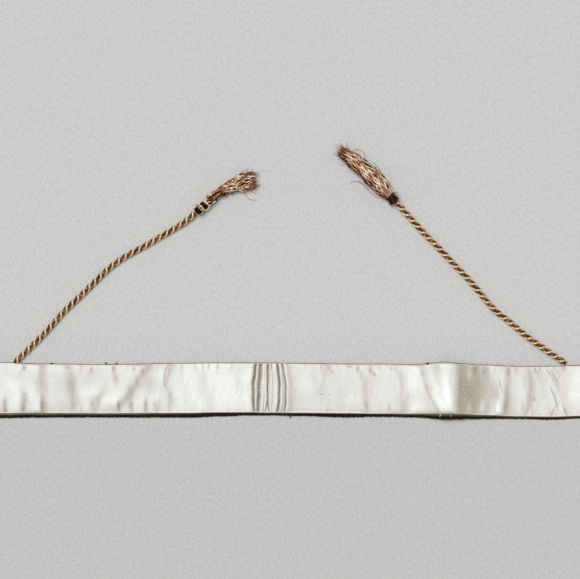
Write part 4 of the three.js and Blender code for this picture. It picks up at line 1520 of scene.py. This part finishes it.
@dataclass
class Tassel:
    """A dark wound head and a skirt of crinkled metallic thread."""

    side: Side
    dark_threads: int = 60
    steps: int = 64
    sides: int = 6
    hairs: int = 44
    thread: float = 0.55
    wander: float = 0.9
    # How much the flank that faces away from the light is darkened: painted shade.
    flank_shade: float = 0.6
    inside: float = 0.8
    head_from: float = 1.0
    head_axis: float = HEAD_AXIS
    clearance: float = 0.75
    ragged: float = 0.12
    wander_lengths: tuple[float, float] = (14, 34)
    dark_tones: tuple[float, float] = (0.05, 0.07)
    bright_tones: tuple[float, float] = (0.94, 0.42)
    inner_shade_tone: float = 0.02
    stray_tone: float = 0.4
    # Depth and reach of the band of painted shade where the threads dip.
    shade_band_depth: float = 0.75
    shade_band_reach: float = 0.09

    @property
    def seed(self) -> int:
        """Tells the two tassels' threads apart."""
        return SEED + (100 if self.side is Side.LEFT else 200)

    @property
    def lie(self) -> ThreadLie:
        """Gives how this tassel's threads lie."""
        return THREAD_LIES[self.side]

    def spine(self) -> Array:
        """Gives the line that the tassel lies along, by the millimetre."""
        flat = np.array(TASSEL_ROUTES[self.side])
        return smooth_path(np.column_stack([flat, np.full(len(flat), self.head_axis)]), 1.0)

    def spread(self, along: Array) -> tuple[Array, Array]:
        """Gives the skirt's half width and half height at distances along it."""
        rows = Section(*np.array(SKIRTS[self.side]).T)
        return eased(along, rows.along, rows.width), eased(along, rows.along, rows.height)

    def laid(self, along: Array, aside: Array, above: Array) -> Array:
        """Places points by their distance along the tassel, to its side, and above its middle.

        Args:
            along: distance along the spine, which runs straight on past its end.
            aside: distance to the left.
            above: height over the skirt's middle, which sinks to rest on the surface.

        Returns:
            The points.
        """
        spine = self.spine()
        heading, side, _ = frames(spine)
        at = np.clip(along, 0, len(spine) - 1)
        places = np.arange(len(spine))
        read = [np.interp(at, places, values) for values in (*spine.T, *side.T[:2], *heading.T[:2])]
        _, half = self.spread(along)
        middle = self.head_axis + (half + self.clearance - self.head_axis) * ramp(8, 22, along)
        past = along - at
        x = read[0] + aside * read[3] + past * read[5]
        y = read[1] + aside * read[4] + past * read[6]
        return np.stack([x, y, middle + above], axis=-1)

    def head(self) -> Shape:
        """Turns the head: a ring of radius r(along) about the spine, dark as its core.

        Returns:
            The shape, with its tone.
        """
        along, radius = np.array(HEAD_PROFILE).T
        along = self.head_from + along
        path = self.laid(along, np.zeros_like(along), np.zeros_like(along))
        tone = 0.015 + 0.015 * waves(along, (3, 5), self.seed)
        return round_tubes(path[None], radius[None], 28, {"tone": tone[None]})

    def inner(self) -> Shape:
        """Carries the skirt's outline, drawn in, along the spine as the dark inside of the bundle, painted
        shade that shows between the threads.

        Returns:
            The shape, with its tone.
        """
        first, last = SKIRTS[self.side][0].along, SKIRTS[self.side][-1].along
        along = np.linspace(first - 1, last - 5, 48)[:, None]
        turn = np.linspace(0, TURN, 28, endpoint=False)[None]
        drawn_in = self.inside * (1 - 0.6 * ramp(last - 12, last - 5, along))
        wide, high = (drawn_in * half for half in self.spread(along))
        outline = self.laid(along + 0 * turn, wide * np.cos(turn), high * np.sin(turn))
        made = tubes(outline[None], along[None, :, 0])
        # Near-black: painted shade deep in the bundle.
        made.marks["tone"] = np.full(len(made.points), self.inner_shade_tone)
        return made

    def threads(self, count: int, seed: int, place: Array, thick: float, tones: tuple[float, float]) -> Shape:
        """Lays threads over the skirt: its half width and height times each thread's place, plus its crinkle.

        The crinkle is a short sine to the side and up, and a long slow one to the side, both growing from the
        root.

        Args:
            count: how many threads.
            seed: the seed for their lengths, phases and tones.
            place: each thread's place in the bundle, to the side and up, from -1 to 1.
            thick: their radius.
            tones: their middle tone, and how far it swings along them.

        Returns:
            The shape, with its tone.
        """
        draw = np.random.default_rng(seed)
        first, last = SKIRTS[self.side][0].along, SKIRTS[self.side][-1].along
        share = np.linspace(0, 1, self.steps)[None]
        tip = last * (1 - self.ragged * draw.uniform(0, 1, (count, 1)) ** 1.5)
        root = first - draw.uniform(0.0, 1.2, (count, 1))
        along = root + (tip - root) * share
        phase = draw.uniform(0, TURN, (4, count, 1))
        short = draw.uniform(self.lie.shortest, self.lie.longest, (2, count, 1))
        slow = draw.uniform(*self.wander_lengths, (2, count, 1))
        grow = ramp(0, 0.2, share)
        sway = self.lie.crinkle * np.sin(TURN * along / short[0] + phase[0])
        sway = sway + self.wander * np.sin(TURN * along / slow[0] + phase[1])
        bob = self.lie.crinkle * np.sin(TURN * along / short[1] + phase[2])
        wide, high = self.spread(along)
        aside = wide * place[:, :1] + grow * sway
        above = high * place[:, 1:] + grow * bob
        path = self.laid(along, aside, above)
        crowded = 0.55 + 0.45 * wide / max(section.width for section in SKIRTS[self.side])
        radius = thick * draw.uniform(0.8, 1.2, (count, 1)) * crowded * (1 - 0.55 * share**6)
        path[..., 2] = np.maximum(path[..., 2], radius + 0.1)
        # The flank that faces the light keeps its threads bright from the root, a painted highlight.
        flank = 1 - ramp(0.45, 0.8, self.lie.clean * place[:, :1])
        late = self.lie.opening * draw.uniform(0, 1, (count, 1)) * flank
        plain, streak = tones
        tone = plain + streak * np.sin(TURN * along / slow[1] + phase[3])
        tone = tone * (0.12 + 0.88 * ramp(late - 0.1, late, share)) * (1 - 0.3 * ramp(0.8, 1.0, share))
        # Painted shade on the flank that faces away from the light, and in the band where the threads dip.
        tone = tone * (1 - self.flank_shade * ramp(0.25, 0.9, self.lie.shaded_flank * place[:, :1]))
        tone = tone * (1 - self.shade_band_depth * flank * bell(share - self.lie.shade_band, self.shade_band_reach))
        tone = tone * (0.5 + 0.5 * ramp(0.0, 0.14, share))
        tone = np.maximum(tone, self.lie.faded * ramp(0.8, 0.95, share))
        return round_tubes(path, radius, self.sides, {"tone": np.clip(tone, self.inner_shade_tone, 1)})

    def skirt(self) -> Shape:
        """Packs dark threads round the inside and lays bright ones apart over them, above and below.

        Returns:
            The shape, with its tone.
        """
        turn = np.arange(self.dark_threads) * TURN / self.dark_threads
        packed = np.column_stack([np.cos(turn), np.sin(turn)]) * 0.86
        half = self.lie.bright // 2
        across = (np.arange(half) + 0.5) / half * 1.92 - 0.96
        rise = np.sqrt(1 - across**2)
        apart = np.column_stack([np.tile(across, 2), np.concatenate([rise, -rise])])
        dark = self.threads(self.dark_threads, self.seed, packed, self.thread, self.dark_tones)
        bright = self.threads(2 * half, self.seed + 1, apart, self.lie.thick, self.bright_tones)
        return self.inner().joined(dark).joined(bright)

    def fringe(self) -> Shape:
        """Frays the tip: fine hairs that leave the bundle, spreading by the square of the way along them.

        Returns:
            The shape, with its tone.
        """
        draw = np.random.default_rng(self.seed + 3)
        end, wide, high = SKIRTS[self.side][-1]
        share = np.linspace(0, 1, 12)[None]
        across, over = draw.uniform(-1, 1, (2, self.hairs, 1))
        along = end - 9 + (9 + draw.uniform(-1.0, 4.5, (self.hairs, 1))) * share
        spread = draw.uniform(0.8, 3.2, (self.hairs, 1)) * share**2
        bend = draw.uniform(-1.6, 1.6, (self.hairs, 1)) * share**2
        path = self.laid(along, across * (wide + spread) + bend, 0.8 * high * over - 1.5 * share)
        radius = np.broadcast_to(0.22 - 0.14 * share, along.shape)
        path[..., 2] = np.maximum(path[..., 2], 0.3)
        tone = np.broadcast_to(draw.uniform(0.12, 0.55, (self.hairs, 1)) + 0.8 * self.lie.faded, along.shape)
        return round_tubes(path, radius, 5, {"tone": tone})

    def strays(self) -> Shape:
        """Lays the loose hairs where the photograph shows them, sinking to the surface towards their ends.

        Returns:
            The shape, with its tone.
        """
        paths = []
        for pixels in STRAY_PIXELS[self.side]:
            height = np.linspace(3.0, 0.4, len(pixels))
            fine = smooth_path(np.column_stack([*from_photo(np.array(pixels)), height]), 0.2)
            paths.append(fine[np.linspace(0, len(fine) - 1, 24).astype(int)])
        hairs = np.stack(paths)
        radius = np.broadcast_to(np.linspace(0.2, 0.11, hairs.shape[1]), hairs.shape[:2])
        return round_tubes(hairs, radius, 5, {"tone": np.full(hairs.shape[:2], self.stray_tone)})

    def build(self, palette: Palette) -> bpy.types.Object:
        """Makes and dresses the tassel."""
        name = self.side.value
        whole = self.head().joined(self.skirt()).joined(self.fringe()).joined(self.strays())
        return dress(whole.build(f"thread_tassel_{name}"), palette.tassel, Slot.TASSEL, f"tassel_{name}")


@dataclass
class Binding:
    """Thread wound and netted over a tassel's head."""

    tassel: Tassel
    thread: float = 0.58
    sides: int = 7
    points: int = 48

    def wraps(self) -> list[Wrap]:
        """Gives the left head's open net of rings and bars, and the right head's winding and loop.

        Returns:
            The threads.
        """
        if self.tassel.side is Side.RIGHT:
            wound = [Wrap(a, 0, a + 0.8, 1, 4.9, 0, 0.05) for a in (2.4, 3.6, 8.6, 9.6)]
            return [*wound, Wrap(3.0, 0.46, 13.0, 0.44, 5.2, 2.0, 0.75)]
        rings = [Wrap(a, 0.01, a + 0.5, 0.5, 5.2, 0.1, 0.95) for a in (6.4, 8.8)]
        rings += [Wrap(a, 0.5, a, 1.01, 5.2, 0.1, 0.6) for a in (6.4, 8.8)]
        mouth = [Wrap(14.2, 0.1, 15.6, 0.4, 5.2, 0.1, 1.0), Wrap(15.0, 0.55, 15.4, 0.95, 5.0, 0.1, 0.6)]
        bars = [Wrap(8.8, t, 14.6, u, 5.2, 0.3, 0.95) for t, u in ((0.1, 0.12), (0.52, 0.46), (0.8, 0.76))]
        splayed = (
            (0.12, 23.0, 0.04), (0.22, 22.0, 0.13), (0.24, 20.5, 0.33), (0.4, 24.0, 0.42), (0.7, 22.0, 0.65),
        )
        forks = [Wrap(14.4, t, b, u, 5.1, 0.3, 0.95) for t, b, u in splayed]
        rungs = [Wrap(6.6, t, 9.2, t + 0.02, 5.2, 0.1, 0.8) for t in (0.12, 0.2, 0.3, 0.38)]
        ends = [Wrap(1.6, t, 6.6, t + 0.05, 4.6, 0.5, 0.85) for t in (0.06, 0.42, 0.72)]
        return rings + mouth + bars + forks + rungs + ends

    def shape(self) -> Shape:
        """Carries each thread over the head: the spine + radius * (cos turn * side + sin turn * up).

        Returns:
            The shape, with its tone.
        """
        rows = Wrap(*np.array(self.wraps()).T[:, :, None])
        share = np.linspace(0, 1, self.points)
        along = rows.along + (rows.to_along - rows.along) * share
        turn = TURN * (rows.turn + (rows.to_turn - rows.turn) * share)
        radius = rows.radius + rows.bow * np.sin(np.pi * share)
        paths = self.tassel.laid(along, radius * np.cos(turn), radius * np.sin(turn))
        middle = self.tassel.laid(along, 0 * turn, 0 * turn)
        outward = (paths - middle) / np.linalg.norm(paths - middle, axis=-1, keepdims=True)
        heading = np.gradient(paths, axis=1)
        side = np.cross(outward, heading)
        side /= np.linalg.norm(side, axis=-1, keepdims=True)
        heading /= np.linalg.norm(heading, axis=-1, keepdims=True)
        uneven = waves(along + 9 * rows.turn, (5, 8, 13), SEED + 40)
        thick = self.thread * (1 + 0.35 * uneven)
        paths[..., 2] = np.maximum(paths[..., 2], thick + 0.1)
        tone = np.clip(rows.tone * (1 + 0.4 * uneven), 0, 1)
        return round_tubes(paths, thick, self.sides, {"tone": tone}, (side, np.cross(heading, side)))

    def build(self, palette: Palette) -> bpy.types.Object:
        """Makes and dresses the binding."""
        name = self.tassel.side.value
        piece = self.shape().build(f"wound_thread_{name}")
        return dress(piece, palette.binding, Slot.BINDING, f"binding_{name}")


# The studio


@dataclass
class Studio:
    """A camera straight over the sash, a pale ground and one broad soft light from the upper left."""

    height: float = 3.5
    sensor: float = 36.0
    sun_strength: float = 2.06
    sun_spread: float = 36.0
    sun_from: tuple[float, float, float] = (-0.19, 0.25, 0.95)
    fill: float = 0.3
    ground: float = 6.0
    ground_gap: float = 0.2

    def camera(self) -> None:
        """Sets the camera over the middle of the photograph's frame, a millimetre of ground to each pixel."""
        data = bpy.data.cameras.new("camera")
        data.sensor_width = self.sensor
        data.lens = self.sensor * self.height / (PHOTO_WIDTH * METRES)
        made = bpy.data.objects.new("camera", data)
        made.location = (0, (ORIGIN_ROW - PHOTO_HEIGHT / 2) * METRES, self.height)
        bpy.context.scene.collection.objects.link(made)
        bpy.context.scene.camera = made

    def light(self) -> None:
        """Adds the broad sun and an even fill from all round."""
        data = bpy.data.lights.new("softbox", "SUN")
        data.energy = self.sun_strength
        data.angle = np.radians(self.sun_spread)
        made = bpy.data.objects.new("softbox", data)
        made.rotation_mode = "QUATERNION"
        made.rotation_quaternion = Vector(self.sun_from).to_track_quat("Z", "Y")
        bpy.context.scene.collection.objects.link(made)
        world = bpy.data.worlds.new("studio")
        world.use_nodes = True
        world.node_tree.nodes["Background"].inputs["Color"].default_value = (1, 1, 1, 1)
        world.node_tree.nodes["Background"].inputs["Strength"].default_value = self.fill
        bpy.context.scene.world = world
        bpy.context.scene.view_settings.view_transform = "Standard"

    def floor(self) -> None:
        """Lays the ground just under the sash."""
        half = self.ground / 2 / METRES
        ways = ((-1, -1), (1, -1), (1, 1), (-1, 1))
        corners = np.array([(a * half, b * half, -self.ground_gap) for a, b in ways])
        made = Shape(corners, np.arange(4), np.array([0]), np.zeros((4, 2))).build("ground")
        made.data.materials.append(PaleGround().material())


def main() -> None:
    """Builds the studio, the ties and the sash."""
    logging.basicConfig(level=logging.INFO, format="%(name)s: %(message)s")
    studio, sash, palette = Studio(), Sash(), Palette()
    studio.camera()
    for side in Side:
        cord, tassel = Cord(side), Tassel(side)
        piece = cord.build(palette)
        cord.declare(piece, [tassel.build(palette), Binding(tassel).build(palette)])
    outer = OuterCloth(sash)
    outer.build(palette)
    lining = Lining(sash, outer)
    lining.build(palette)
    Sewing(lining).build(palette)
    studio.light()
    studio.floor()


if __name__ == "__main__":
    main()
